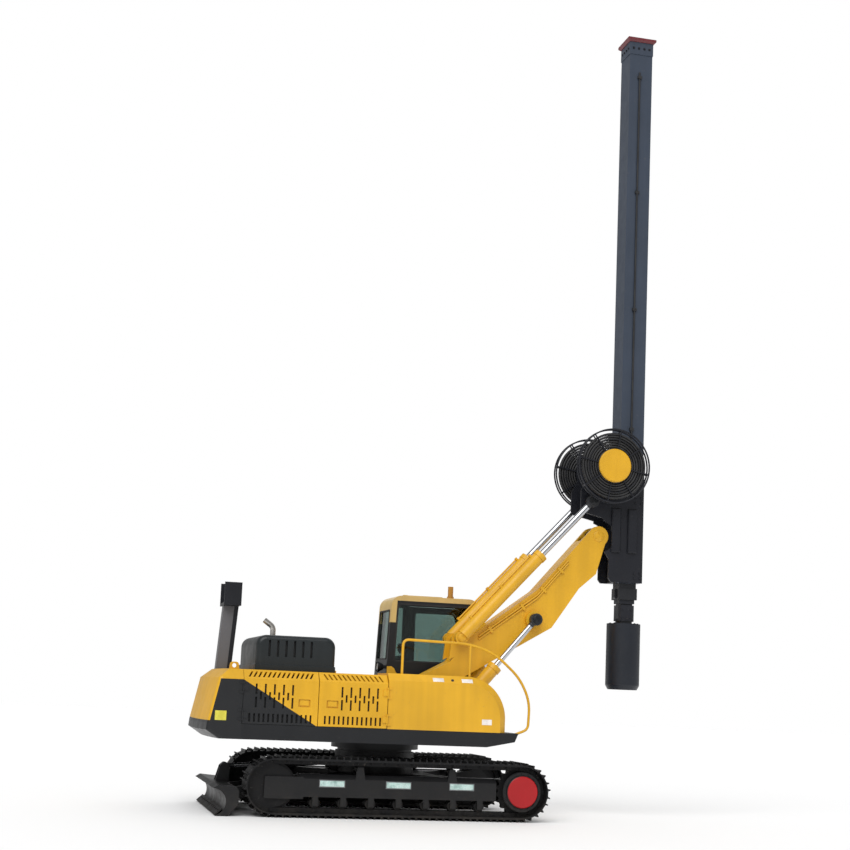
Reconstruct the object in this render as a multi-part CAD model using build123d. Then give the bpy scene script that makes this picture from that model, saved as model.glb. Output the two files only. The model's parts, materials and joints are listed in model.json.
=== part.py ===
"""Piling rig on crawler tracks, in millimetres.

While it is modelled the slew axis stands at x = 0, with +X to the mast, +Y to the
cab's side and z = 0 on the ground. The export moves all of it along X, so that the
origin lies under the middle of the outside box.
"""
import math
import os

from build123d import *

# Gaps: running fits at pins and rods, seams of doors, and gaps between moving pieces
RUN = 0.3
SEAM = 5
CLEAR = 10

# Crawler tracks
TRACK_LENGTH = 4250
TRACK_AHEAD = 110
TRACK_GAUGE = 2100
SHOE_WIDTH = 500
SHOE_COUNT = 48
SHOE_PLATE = 15
GROUSER_HEIGHT = 35
LINK_HEIGHT = 70
LINK_WIDTH = 40
LINK_SPREAD = 150
TRACK_HEIGHT = 810
ROLLER_COUNT = 7
ROLLER_PITCH = 380
ROLLER_RADIUS = 70
CARRIER_X = (-540, 740)
CARRIER_RADIUS = 55
SPROCKET_TEETH = 21
DRIVE_RADIUS = 215
FRAME_HALF = 140
FRAME_TOP = 510

# Dozer blade
BLADE_WIDTH = 2500
BLADE_HINGE = (-1250, 380)
BLADE_BACK = -2165
BLADE_PIN = (-2235, 590)
BLADE_ARM_Y = 450
BLADE_ARM_WIDTH = 100
BLADE_RAM_BASE = (-750, 700)

# Revolving upper
HOUSE_HALF = 1250
DECK_BOTTOM = 1000
DECK_TOP = 1200
HOUSE_TOP = 1920
SHOULDER_Z = 1800
SHOULDER_IN = 120
DECK_NOSE = 1750
TAIL_RADIUS = 2620
TAIL_DEPTH = 545
TAIL_CURVE = 9000
TAIL_CORNER = 50
TAIL_LEAN = 135
TAIL_SLOPE = 290
REAR_DOOR_WIDTH = 1015
BOX_X = -110
BOX_FRONT = 1580
BOX_TOP = 1950
BOX_CORNER = 570
BOX_WALL = 150
BOX_INNER_Y = 480
PANEL = 40
HINGE_RADIUS = 12
SLEW_RADIUS = 530
ENGINE_TOP = 2060
ENGINE_INSET = (135, 210)
ENGINE_HALF = 380
EYE_BACK = 72
EYE_MARGIN = 550
EYE_HOLE = 30
RAIL_MARGIN = 150
RAIL_RADIUS = 18
RAIL_BEND = 60
RAIL_TOP = 2420
RAIL_REACH = 1945

# Hood, exhaust and mast rest
HOOD_GAP = 195
HOOD_FRONT = -790
HOOD_MARGIN = 370
HOOD_TOP = 2400
HOOD_CORNER = 140
HOOD_LIP = 12
HOOD_LIP_TALL = 80
HOOD_SLOT_Z = (2110, 2330)
HOOD_SLOT_PITCH = 115
HOOD_SLOT_SHIFT = -80
HOOD_KNUCKLE = 14
REST_BACK = 150
REST_HALF = 105
REST_TOP = 3130
REST_LEAN = 60
CRADLE_TALL = 320
CRADLE_WALL = 35
EXHAUST_RADIUS = 38
EXHAUST_WALL = 5
EXHAUST_IN = 270
EXHAUST_Y_IN = 430

# Cab
CAB_INNER_Y = 440
CAB_PROUD = 25
CAB_REAR = 220
CAB_FRONT = 1730
CAB_WALL = 45
CAB_TOP = 3120
CAB_SILL = 2140
CAB_WAIST = 1950
CAB_BROW = 2550
CAB_HEAD = 3010
CAB_STEP = 1290
CAB_DOOR_X = 720
SEAT_BACK = 240
SEAT_HALF = 230
CONSOLE_BACK = 400
LAMP_RADIUS = 80
BEACON = (510, 260)
CAB_KNUCKLE = 9
GLASS = 6

# Boom and its rams, all as (x, z) places
BOOM_HALF = 190
BOOM_FOOT = (650, 1800)
BOOM_TIP = (3240, 4130)
BOOM_HEEL = (1340, 2560)
BOOM_KNEE = (2300, 3270)
BOOM_ELBOW = (2540, 2730)
BOOM_THROAT = (2950, 3330)
BOOM_PLATE = 22
PIPE_RADIUS = 12
PIPE_DROP = (75, 120)
PIPE_END = 470
FOOT_RADIUS = 150
FOOT_PIN = 60
TIP_PIN = 55
TIP_RADIUS = 150
FORK_GAP_HALF = 126
RAM_Y = 330
RAM_EYE_WIDTH = 96
LIFT_BASE = (1130, 1500)
LIFT_EYE = (2250, 2830)
LIFT_BARREL = 820
TILT_BASE = (1130, 2510)
TILT_EYE = (3080, 4630)
TILT_BARREL = 1730
CHEEK_Y = (200, 230)

# Mast, its bracket and its reels
MAST_X = 3740
MAST_SIDE = 370
MAST_WALL = 14
MAST_FOOT = 3460
MAST_TOP = 11950
CAP_SIDE = 460
CAP_HEIGHT = 60
BAND_HEIGHT = 200
BAND_PROUD = 8
SLEEVE_LENGTH = 250
COLLAR_HEIGHT = 170
COLLAR_PROUD = 14
STAGE_1_SIDE = 236
STAGE_2_SIDE = 190
STAGE_WALL = 12
STAGE_SHOW = 60
SHOE_TALL = 150
GUIDE_FIT = 0.5
BRACKET_PLATE = 30
BRACKET_FRONT = 190
BRACKET_TOP = 5320
RIB_X = (-250, 10)
RIB_HALF = 70
RIB_PROUD = 42
RIB_Z = (3900, 4560)
MAST_HOSE_X = -24
MAST_HOSE_RADIUS = 14
MAST_CLIP_PITCH = 1860
REEL_CENTRE = (3320, 5150)
REEL_RADIUS = 560
REEL_Y = (470, 570)
REEL_AXLE = 60
REEL_SPOKES = 8
HOSE_RADIUS = 500
HUB_RADIUS = 250

# Drilling tool
HEAD_SIDE = 247
HEAD_DROP = 330
HEAD_HEIGHT = 238
HEAD_FLANGE = 150
STEM_RADIUS = 125
STEM_LENGTH = 40
SPIGOT_RADIUS = 70
SPIGOT_LENGTH = 140
DRILL_RADIUS = 252
DRILL_HEIGHT = 980
DRILL_TAPER = (34, 62)
DRILL_WALL = 42
DRILL_LID = 40

# Worked-out places
END_RADIUS = TRACK_HEIGHT / 2
WHEEL_X = TRACK_LENGTH / 2 - END_RADIUS
WHEEL_Z = END_RADIUS
SHOE_INNER = END_RADIUS - GROUSER_HEIGHT - SHOE_PLATE
LINK_INNER = SHOE_INNER - LINK_HEIGHT
SHOE_PITCH = 2 * (2 * WHEEL_X + math.pi * SHOE_INNER) / SHOE_COUNT
TRACK_Y = TRACK_GAUGE / 2
ROLLER_Z = WHEEL_Z - LINK_INNER + ROLLER_RADIUS + RUN
CARRIER_Z = WHEEL_Z + LINK_INNER - CARRIER_RADIUS - RUN
FRAME_BOTTOM = ROLLER_Z + ROLLER_RADIUS + CLEAR
FRAME_CROWN = CARRIER_Z - CARRIER_RADIUS - CLEAR
FRAME_END = WHEEL_X - SHOE_INNER
TAIL_X = TAIL_DEPTH - TAIL_RADIUS
DOOR_SPLIT_X = TAIL_X + REAR_DOOR_WIDTH
HOOD_X = (TAIL_X + HOOD_GAP, HOOD_FRONT)
HOOD_HALF = HOUSE_HALF - HOOD_MARGIN
REST_X = TAIL_X - REST_BACK
EYE_X = TAIL_X - EYE_BACK
EYE_Y = HOUSE_HALF - EYE_MARGIN
RAIL_Y = RAIL_MARGIN - HOUSE_HALF
CAB_Y = (CAB_INNER_Y, HOUSE_HALF + CAB_PROUD)
CAB_FLOOR = DECK_TOP + CAB_WALL
MAST_HALF = MAST_SIDE / 2
PLATE_IN = BOOM_HALF + CLEAR
PLATE_OUT = PLATE_IN + BRACKET_PLATE
BRACKET_Z = (MAST_FOOT, BRACKET_TOP)
SLEEVE_SIDE = STAGE_1_SIDE + 2 * (GUIDE_FIT + MAST_WALL)
SLEEVE_BOTTOM = MAST_FOOT - SLEEVE_LENGTH
HEAD_Z = (MAST_FOOT - HEAD_DROP - HEAD_HEIGHT, MAST_FOOT - HEAD_DROP)
DRILL_Z = (HEAD_Z[0] - STEM_LENGTH - DRILL_HEIGHT, HEAD_Z[0] - STEM_LENGTH)
ORIGIN_AHEAD = (MAST_X + max(DRILL_RADIUS, CAP_SIDE / 2) - TAIL_RADIUS) / 2


# Shapes that most pieces are made from

def block(x, y, z):
    """A box between a low and a high place along each axis."""
    middle = [(low + high) / 2 for low, high in (x, y, z)]
    size = [high - low for low, high in (x, y, z)]
    return Pos(*middle) * Box(*size)


def face_of(corners):
    """A face from (u, v) corners. A third number rounds that corner."""
    face = make_face(Polyline(*[(corner[0], corner[1]) for corner in corners], close=True))
    for corner in corners:
        if len(corner) > 2:
            place = face.vertices().sort_by_distance((corner[0], corner[1], 0))[0]
            face = fillet(place, corner[2])
    return face


def slab(face, y):
    """An X-Z face drawn out between two places along Y."""
    low, high = y
    return extrude(Plane.XZ.offset(-high) * face, amount=high - low)


def along_x(face, x):
    """A Y-Z face drawn out between two places along X."""
    low, high = x
    return extrude(Plane.YZ.offset(low) * face, amount=high - low)


def upward(face, z):
    """An X-Y face drawn out between two heights."""
    low, high = z
    return extrude(Plane.XY.offset(low) * face, amount=high - low)


def pin(place, radius, y):
    """A round bar along Y, through an (x, z) place."""
    low, high = y
    return Pos(place[0], (low + high) / 2, place[1]) * Rot(X=90) * Cylinder(radius, high - low)


def post(place, radius, z):
    """A round bar along Z, through an (x, y) place."""
    low, high = z
    return Pos(place[0], place[1], (low + high) / 2) * Cylinder(radius, high - low)


def square(x, side, z):
    """A square bar along Z on the machine's middle plane."""
    return block((x - side / 2, x + side / 2), (-side / 2, side / 2), z)


def pipe(points, bend, radius, bore=0):
    """A round bar, or a tube with a bore, along a run of points with rounded bends."""
    path = FilletPolyline(*points, radius=bend)
    section = Circle(radius) - Circle(bore) if bore else Circle(radius)
    return sweep(Plane(path @ 0, z_dir=path % 0) * section, path=path)


def sided(side, near, far):
    """Two distances from the middle plane as places along Y on one side of it."""
    return tuple(sorted((side * near, side * far)))


def both(shape):
    """A piece and its mirror image on the other side."""
    return shape + mirror(shape, about=Plane.XZ)


# Undercarriage

def loop_point(distance):
    """The (x, z) place at a distance along the inside of the shoes."""
    run = 2 * WHEEL_X
    arc = math.pi * SHOE_INNER
    distance %= 2 * (run + arc)
    side = 1
    if distance >= run + arc:
        distance -= run + arc
        side = -1
    if distance < run:
        return side * (distance - WHEEL_X), WHEEL_Z - side * SHOE_INNER
    turn = (distance - run) / SHOE_INNER
    return side * (WHEEL_X + SHOE_INNER * math.sin(turn)), WHEEL_Z - side * SHOE_INNER * math.cos(turn)


def shoe_points(number):
    """The outer edge of one shoe: a plate with two grousers."""
    x0, z0 = loop_point(number * SHOE_PITCH)
    x1, z1 = loop_point((number + 1) * SHOE_PITCH)
    chord = math.hypot(x1 - x0, z1 - z0)
    out_x, out_z = (z1 - z0) / chord, -(x1 - x0) / chord
    tip = SHOE_PLATE + GROUSER_HEIGHT
    steps = []
    for middle in (0.25, 0.75):
        steps += [(middle - 0.07, SHOE_PLATE), (middle - 0.04, tip)]
        steps += [(middle + 0.04, tip), (middle + 0.07, SHOE_PLATE)]
    return [(x0 + u * (x1 - x0) + h * out_x, z0 + u * (z1 - z0) + h * out_z) for u, h in steps]


def ring_face(outer, inner):
    """A track-shaped band between two radii about the end wheels."""
    band = SlotCenterToCenter(2 * WHEEL_X, 2 * outer) - SlotCenterToCenter(2 * WHEEL_X, 2 * inner)
    return Pos(0, WHEEL_Z) * band


def make_track():
    """One track loop, on the cab's side: shoes with grousers on two link rails."""
    dip = SHOE_INNER * (1 - math.cos(SHOE_PITCH / SHOE_INNER / 2))
    points = [point for number in range(SHOE_COUNT) for point in shoe_points(number)]
    inside = Pos(0, WHEEL_Z) * SlotCenterToCenter(2 * WHEEL_X, 2 * (SHOE_INNER - dip))
    shoes = make_face(Polyline(*points, close=True)) - inside
    track = slab(shoes, (TRACK_Y - SHOE_WIDTH / 2, TRACK_Y + SHOE_WIDTH / 2))
    for side in (-1, 1):
        middle = TRACK_Y + side * LINK_SPREAD / 2
        rail = slab(ring_face(SHOE_INNER, LINK_INNER), (middle - LINK_WIDTH / 2, middle + LINK_WIDTH / 2))
        track += rail
    return track


def make_track_frame():
    """The side frame inside one track, with its forks, brackets and posts."""
    low, high = TRACK_Y - FRAME_HALF, TRACK_Y + FRAME_HALF
    section = face_of([(low, FRAME_BOTTOM), (high, FRAME_BOTTOM), (high, FRAME_TOP),
                       (high - 60, FRAME_CROWN), (low + 60, FRAME_CROWN), (low, FRAME_TOP)])
    frame = along_x(section, (-FRAME_END, FRAME_END))
    fork = face_of([(-WHEEL_X - 110, WHEEL_Z - 165, 25), (-FRAME_END + 60, WHEEL_Z - 165),
                    (-FRAME_END + 60, WHEEL_Z + 125), (-WHEEL_X - 110, WHEEL_Z + 125, 25)])
    for edge in ((low, low + 35), (high - 35, high)):
        frame += slab(fork, edge)
    motor = face_of([(FRAME_END - 60, WHEEL_Z - 130), (WHEEL_X, WHEEL_Z - 200), (WHEEL_X + 200, WHEEL_Z),
                     (WHEEL_X, WHEEL_Z + 200), (FRAME_END - 60, WHEEL_Z + 130)])
    frame += slab(motor, (low - 60, low + 30))
    bracket = ROLLER_RADIUS * 0.55
    for number in range(ROLLER_COUNT):
        x = (number - (ROLLER_COUNT - 1) / 2) * ROLLER_PITCH
        for edge in ((low, low + 28), (high - 28, high)):
            frame += block((x - bracket, x + bracket), edge, (ROLLER_Z - bracket, FRAME_BOTTOM + 20))
    for x in CARRIER_X:
        leg = face_of([(x - 75, FRAME_TOP - 40), (x + 75, FRAME_TOP - 40), (x + 40, CARRIER_Z + 40),
                       (x - 40, CARRIER_Z + 40)])
        frame += slab(leg, (high - 28, high))
    return frame


def make_wheels():
    """The rollers and the idler of one side."""
    rail_half = LINK_SPREAD / 2 + LINK_WIDTH / 2
    width = (TRACK_Y - rail_half, TRACK_Y + rail_half)
    axle = (TRACK_Y - FRAME_HALF + 28, TRACK_Y + FRAME_HALF - 28)
    rollers = None
    for number in range(ROLLER_COUNT):
        place = ((number - (ROLLER_COUNT - 1) / 2) * ROLLER_PITCH, ROLLER_Z)
        roller = pin(place, ROLLER_RADIUS, width) + pin(place, 28, axle)
        rollers = roller if rollers is None else rollers + roller
    for x in CARRIER_X:
        place = (x, CARRIER_Z)
        rollers += pin(place, CARRIER_RADIUS, width) + pin(place, 25, (width[1] - 20, axle[1]))
    guide = LINK_SPREAD / 2 - LINK_WIDTH / 2 - CLEAR
    idler_place = (-WHEEL_X, WHEEL_Z)
    fork_in = (TRACK_Y - FRAME_HALF + 35, TRACK_Y + FRAME_HALF - 35)
    idler = pin(idler_place, LINK_INNER - RUN, width)
    idler += pin(idler_place, LINK_INNER + LINK_HEIGHT / 2, (TRACK_Y - guide, TRACK_Y + guide))
    idler += pin(idler_place, 60, fork_in)
    return rollers, idler


def make_sprocket():
    """A toothed drive wheel on its hub, and the round cover at its outer end."""
    root = LINK_INNER + LINK_HEIGHT * 0.25
    tip = LINK_INNER + LINK_HEIGHT * 0.62
    step = 2 * math.pi / SPROCKET_TEETH
    points = []
    for tooth in range(SPROCKET_TEETH):
        for turn, radius in ((-0.36, root), (-0.13, tip), (0.13, tip), (0.36, root)):
            angle = (tooth + turn) * step
            points.append((WHEEL_X + radius * math.cos(angle), WHEEL_Z + radius * math.sin(angle)))
    half = LINK_SPREAD / 2 - LINK_WIDTH / 2 - CLEAR
    place = (WHEEL_X, WHEEL_Z)
    wheel = slab(make_face(Polyline(*points, close=True)), (TRACK_Y - half, TRACK_Y + half))
    wheel += pin(place, DRIVE_RADIUS, (TRACK_Y - FRAME_HALF + 30, TRACK_Y + SHOE_WIDTH / 2 - 70))
    outer = TRACK_Y + SHOE_WIDTH / 2 - 20
    cover = pin(place, DRIVE_RADIUS + 8, (outer - 50, outer))
    cover = chamfer(cover.edges().sort_by(Axis.Y)[-1], 18)
    return wheel, cover


def make_car_body():
    """The X-shaped middle of the undercarriage with the turret and its lugs."""
    slew_axis = (-TRACK_AHEAD, 0)
    reach = TRACK_Y - FRAME_HALF
    quarter = [(700, 350), (1100, reach), (620, reach), (420, 520)]
    plan = []
    for sign_x, sign_y, order in ((1, 1, 1), (-1, 1, -1), (-1, -1, 1), (1, -1, -1)):
        plan += [(sign_x * x, sign_y * y) for x, y in quarter[::order]]
    body = upward(face_of(plan), (330, 560)) + post(slew_axis, SLEW_RADIUS + 30, (500, 860))
    hinge_x, hinge_z = BLADE_HINGE
    ear = face_of([(-600, 340), (hinge_x, hinge_z - 80), (hinge_x - 80, hinge_z), (hinge_x, hinge_z + 80),
                   (-600, 520)])
    for side in (-1, 1):
        for offset in (-1, 1):
            middle = side * BLADE_ARM_Y + offset * (BLADE_ARM_WIDTH / 2 + 6 + 15)
            body += slab(ear, (middle - 15, middle + 15))
    ram_x, ram_z = BLADE_RAM_BASE
    lug = face_of([(-480, 560), (ram_x + 40, 560), (ram_x - 55, ram_z - 40), (ram_x - 55, ram_z + 40),
                   (ram_x + 20, ram_z + 65), (-480, ram_z + 65)])
    for side in (-1, 1):
        body += slab(lug, sided(side, 62, 90))
    body += pin(BLADE_RAM_BASE, BLADE_RAM["pin"], (-95, 95))
    reach = BLADE_ARM_WIDTH / 2 + 42
    for side in (-1, 1):
        body += pin(BLADE_HINGE, 35, (side * BLADE_ARM_Y - reach, side * BLADE_ARM_Y + reach))
    ring = post(slew_axis, SLEW_RADIUS, (850, 985)) - post(slew_axis, SLEW_RADIUS - 100, (800, 1000))
    return body + ring


def make_blade():
    """The dozer blade with its middle tower and its two arms."""
    tip, belly, nose = (-2465, 10), (-2330, 180), (-2505, 360)
    outline = ThreePointArc(tip, belly, nose)
    outline += Polyline(nose, (-2440, 400), (BLADE_BACK - 35, 380), (BLADE_BACK, 330), (BLADE_BACK, 150),
                        (-2300, 10), tip)
    blade = slab(make_face(outline), (-BLADE_WIDTH / 2, BLADE_WIDTH / 2))
    pin_x, pin_z = BLADE_PIN
    tower = face_of([(pin_x - 150, 300), (pin_x + 60, 300), (pin_x + 65, pin_z + 5, 30), (pin_x, pin_z + 65, 40),
                     (pin_x - 65, pin_z + 5, 30)])
    for side in (-1, 1):
        blade += slab(tower, sided(side, 62, 92))
    hinge_x, hinge_z = BLADE_HINGE
    arm = face_of([(BLADE_BACK - 20, 325), (hinge_x, hinge_z + 75), (hinge_x + 75, hinge_z, 60),
                   (hinge_x, hinge_z - 75), (BLADE_BACK - 20, 165)])
    half = BLADE_ARM_WIDTH / 2
    arms = both(slab(arm, (BLADE_ARM_Y - half, BLADE_ARM_Y + half)))
    for side in (-1, 1):
        arms -= pin(BLADE_HINGE, 35 + RUN, sided(side, 300, 600))
    return blade + arms


def make_ram(base, eye, y, sizes, pin_reach):
    """One hydraulic ram: its barrel and its rod, in a plane along X and Z.

    The sizes give the barrel's length and radius, the rod's radius and how far it
    reaches in, the eye's radius and width and the pin's radius. A line, if given, is
    the radius of an oil pipe clamped along the barrel's upper side. The rod's pin runs
    between the two places along Y in pin_reach.
    """
    length = math.hypot(eye[0] - base[0], eye[1] - base[1])
    frame = Plane(origin=(base[0], y, base[1]), x_dir=(0, 1, 0), z_dir=(eye[0] - base[0], 0, eye[1] - base[1]))
    radius = sizes["radius"]
    bore = radius * 0.78
    ring = Rot(Y=90) * Cylinder(sizes["eye"], sizes["width"])
    long_part = (Align.CENTER, Align.CENTER, Align.MIN)
    start = sizes["eye"] * 0.5
    barrel = ring + Pos(0, 0, start) * Cylinder(radius, sizes["barrel"] - start, align=long_part)
    barrel += Pos(0, 0, sizes["barrel"] - 70) * Cylinder(radius * 1.1, 70, align=long_part)
    inside = sizes["eye"] + 25
    barrel -= Pos(0, 0, inside) * Cylinder(bore, sizes["barrel"] - 60 - inside, align=long_part)
    barrel -= Pos(0, 0, inside) * Cylinder(sizes["rod"] + RUN, sizes["barrel"], align=long_part)
    barrel -= Rot(Y=90) * Cylinder(sizes["pin"] + RUN, sizes["width"] * 2)
    if "line" in sizes:
        out = radius + sizes["line"] + 4
        ends = (0.18 * sizes["barrel"], 0.92 * sizes["barrel"])
        barrel += Pos(0, out, ends[0]) * Cylinder(sizes["line"], ends[1] - ends[0], align=long_part)
        for share in (0, 0.5, 1):
            height = ends[0] + share * (ends[1] - ends[0])
            barrel += Pos(0, out, height) * Box(sizes["line"] * 3, sizes["line"] * 2 + 20, 34)
    piston = sizes["barrel"] - sizes["inside"]
    rod = Pos(0, 0, piston) * Cylinder(sizes["rod"], length - sizes["eye"] * 0.5 - piston, align=long_part)
    rod += Pos(0, 0, piston) * Cylinder(bore - RUN, 50, align=long_part)
    rod += Pos(0, 0, length) * ring
    rod = frame * rod + pin(eye, sizes["pin"], pin_reach)
    return frame * barrel, rod


BLADE_RAM = {"barrel": 800, "radius": 55, "rod": 30, "inside": 420, "eye": 52, "width": 100, "pin": 32}
LIFT_RAM = {"barrel": LIFT_BARREL, "radius": 95, "rod": 42, "inside": 330, "eye": 88,
            "width": RAM_EYE_WIDTH, "pin": 42}
TILT_RAM = {"barrel": TILT_BARREL, "radius": 92, "rod": 50, "inside": 450, "eye": 92,
            "width": RAM_EYE_WIDTH, "pin": 42, "line": 14}


def undercarriage():
    """Every node of the undercarriage, the blade and the blade's ram.

    They are modelled about the tracks' middle, and then moved ahead of the slew axis.
    """
    nodes = {"car_body": make_car_body()}
    track = make_track()
    nodes["track_left"], nodes["track_right"] = track, mirror(track, about=Plane.XZ)
    nodes["track_frames"] = both(make_track_frame())
    rollers, idler = make_wheels()
    nodes["track_rollers"], nodes["idlers"] = both(rollers), both(idler)
    wheel, cover = make_sprocket()
    nodes["sprockets"], nodes["drive_covers"] = both(wheel), both(cover)
    eye = face_of([(640, 350), (860, 350, 60), (920, 430, 50), (860, 510, 60), (640, 510)])
    nodes["tow_eye"] = slab(eye, (-25, 25)) - pin((840, 430), 35, (-60, 60)) - nodes["car_body"]
    nodes["blade"] = make_blade()
    barrel, rod = make_ram(BLADE_RAM_BASE, BLADE_PIN, 0, BLADE_RAM, (-61, 61))
    nodes["blade_ram_barrel"], nodes["blade_ram_rod"] = barrel, rod
    return {name: Pos(TRACK_AHEAD, 0, 0) * shape for name, shape in nodes.items()}


# Revolving upper

def make_revolving_frame():
    """The deck with its skirt, turntable, beams and the cheeks for the boom."""
    outline = face_of([(TAIL_X, DECK_BOTTOM), (1300, DECK_BOTTOM), (DECK_NOSE - 50, DECK_BOTTOM + 80),
                       (DECK_NOSE, DECK_TOP), (TAIL_X, DECK_TOP)])
    frame = slab(outline, (-HOUSE_HALF, HOUSE_HALF))
    side = HOUSE_HALF - PANEL
    frame -= block((TAIL_X + PANEL, 1150), (-side, side), (DECK_BOTTOM - 5, DECK_TOP - PANEL))
    frame += post((0, 0), SLEW_RADIUS + 110, (DECK_BOTTOM, DECK_TOP - 5))
    low, high = CHEEK_Y
    foot_x, foot_z = BOOM_FOOT
    base_x, base_z = LIFT_BASE
    cheek = face_of([(foot_x - 420, DECK_TOP - 20), (base_x + 170, DECK_TOP - 20), (base_x + 120, base_z + 20, 60),
                     (base_x - 20, base_z + 130, 60), (foot_x + 190, foot_z + 30, 100),
                     (foot_x, foot_z + 190, 100), (foot_x - 190, foot_z + 30, 100)])
    for sign in (-1, 1):
        edge = tuple(sorted((sign * low, sign * high)))
        frame += slab(cheek, edge)
        frame += block((TAIL_X + 20, 1200), edge, (DECK_BOTTOM, DECK_TOP - 20))
    frame += pin(BOOM_FOOT, FOOT_PIN, (-high - 8, high + 8))
    reach = RAM_Y + RAM_EYE_WIDTH / 2 + 15
    frame += both(pin(LIFT_BASE, LIFT_RAM["pin"], (low, reach)))
    ring = post((0, 0), SLEW_RADIUS + 90, (900, DECK_BOTTOM + 20))
    return frame + ring - post((0, 0), SLEW_RADIUS + RUN, (850, DECK_BOTTOM))


def make_counterweight():
    """The tail block, with a curved rear that leans in, cut to the house's width and shoulders."""
    ahead = TAIL_CURVE - TAIL_RADIUS
    start, rear = ahead - TAIL_X - TAIL_DEPTH, TAIL_CURVE
    outline = face_of([(start, DECK_BOTTOM), (rear - 170, DECK_BOTTOM), (rear, DECK_BOTTOM + 110),
                       (rear - 10, DECK_TOP), (rear - TAIL_LEAN, SHOULDER_Z), (rear - TAIL_SLOPE, HOUSE_TOP),
                       (start, HOUSE_TOP)])
    ring = Pos(ahead, 0, 0) * revolve(Plane.XZ * outline, axis=Axis.Z)
    reach = (-TAIL_RADIUS - 50, TAIL_X)
    tail = ring & block(reach, (-HOUSE_HALF, HOUSE_HALF), (DECK_BOTTOM - 50, HOUSE_TOP + 50))
    corners = [edge for edge in tail.edges() if abs(abs(edge.center().Y) - HOUSE_HALF) < 1
               and edge.center().X < TAIL_X - 50 and DECK_BOTTOM + 1 < edge.center().Z < HOUSE_TOP - 1]
    section = face_of([(-HOUSE_HALF, DECK_BOTTOM - 50), (HOUSE_HALF, DECK_BOTTOM - 50), (HOUSE_HALF, SHOULDER_Z),
                       (HOUSE_HALF - SHOULDER_IN, HOUSE_TOP), (SHOULDER_IN - HOUSE_HALF, HOUSE_TOP),
                       (-HOUSE_HALF, SHOULDER_Z)])
    return fillet(corners, TAIL_CORNER) & along_x(section, reach)


def side_section(bottom):
    """The Y-Z section of a house side on the cab's side: upright, then sloped in."""
    low, high = HOUSE_HALF - PANEL, HOUSE_HALF
    inner = high - SHOULDER_IN
    return face_of([(high, bottom), (high, SHOULDER_Z), (inner, HOUSE_TOP), (inner, HOUSE_TOP - 55),
                    (low, SHOULDER_Z - 15), (low, bottom)])


# Each row of upright door slots, from the bottom up. A row's margin is the width of the door
# that its slots leave free, and its shift is the way from the door's middle to the hinge.
DOOR_SLOTS = (
    {"z": 1290, "tall": 110, "pitch": 63, "margin": 120, "fewer": 0, "shift": 0},
    {"z": 1494, "tall": 140, "pitch": 122, "margin": 325, "fewer": 0, "shift": 88},
    {"z": 1580, "tall": 100, "pitch": 122, "margin": 325, "fewer": 1, "shift": 88},
    {"z": 1666, "tall": 140, "pitch": 122, "margin": 325, "fewer": 0, "shift": 88},
)
SLOT_WIDTH = 26
SHOULDER_SLOT = {"long": 105, "pitch": 63, "margin": 120, "lean": 45}
LATCH = {"z": 1500, "edge": 185, "wide": 160, "tall": 100, "deep": 20}


def row_places(middle, width, row, fewer=0):
    """The places along X of a row's slots, as many as the panel's width takes."""
    count = int((width - row["margin"]) / row["pitch"]) - fewer
    return [middle + (number - (count - 1) / 2) * row["pitch"] for number in range(count)]


def make_side_panel(x, hinge):
    """One panel of the house's side on the cab's side, with its slots and its latch.

    The hinge is 1 where the panel is hinged at its front edge and -1 at its rear edge.
    """
    low, high = x[0] + SEAM, x[1] - SEAM
    panel = along_x(side_section(DECK_TOP + SEAM), (low, high))
    middle = (low + high) / 2
    depth = (HOUSE_HALF - PANEL - 20, HOUSE_HALF + 20)
    cuts = []
    for row in DOOR_SLOTS:
        height = (row["z"] - row["tall"] / 2, row["z"] + row["tall"] / 2)
        for u in row_places(middle + hinge * row["shift"], high - low, row, row["fewer"]):
            cuts.append(block((u - SLOT_WIDTH / 2, u + SLOT_WIDTH / 2), depth, height))
    band = Plane(origin=(0, HOUSE_HALF - SHOULDER_IN / 2, (SHOULDER_Z + HOUSE_TOP) / 2), x_dir=(1, 0, 0),
                 z_dir=(0, HOUSE_TOP - SHOULDER_Z, SHOULDER_IN))
    half, lean = SHOULDER_SLOT["long"] / 2, hinge * SHOULDER_SLOT["lean"] / 2
    for u in row_places(middle, high - low, SHOULDER_SLOT):
        slot = face_of([(u - lean - SLOT_WIDTH / 2, -half), (u - lean + SLOT_WIDTH / 2, -half),
                        (u + lean + SLOT_WIDTH / 2, half), (u + lean - SLOT_WIDTH / 2, half)])
        cuts.append(extrude(band * slot, amount=PANEL * 1.5, both=True))
    free = low + LATCH["edge"] if hinge > 0 else high - LATCH["edge"]
    recess = ((free - LATCH["wide"] / 2, free + LATCH["wide"] / 2),
              (HOUSE_HALF - LATCH["deep"], HOUSE_HALF + 20),
              (LATCH["z"] - LATCH["tall"] / 2, LATCH["z"] + LATCH["tall"] / 2))
    cuts.append(block(*recess))
    panel -= cuts
    rim = LATCH["wide"] / 8
    paddle = block((recess[0][0] + rim, recess[0][1] - rim), (HOUSE_HALF - LATCH["deep"] - 2, HOUSE_HALF - 6),
                   (recess[2][0] + rim, recess[2][1] - rim / 2))
    return panel + paddle


def make_hinge(axis, face, toward, z, radius):
    """One upright leaf hinge at an (x, y) axis: its moving half and its fixed half.

    The face is the place along Y of the panel that the leaves lie on, and toward is
    the way along X from the axis to the door.
    """
    x, y = axis
    core = radius * 0.5
    moving = post(axis, radius, (z - 45, z + 45))
    moving += block(tuple(sorted((x, x + toward * 65))), (face - 5, y), (z - 40, z + 40))
    moving -= post(axis, core + RUN, (z - 60, z + 60))
    fixed = post(axis, core, (z - 75, z + 75))
    for low in (z - 75, z + 48):
        fixed += post(axis, radius, (low, low + 27))
        fixed += block(tuple(sorted((x - toward * 55, x - toward * SEAM))), (face - 5, y), (low, low + 27))
    return moving, fixed


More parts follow.
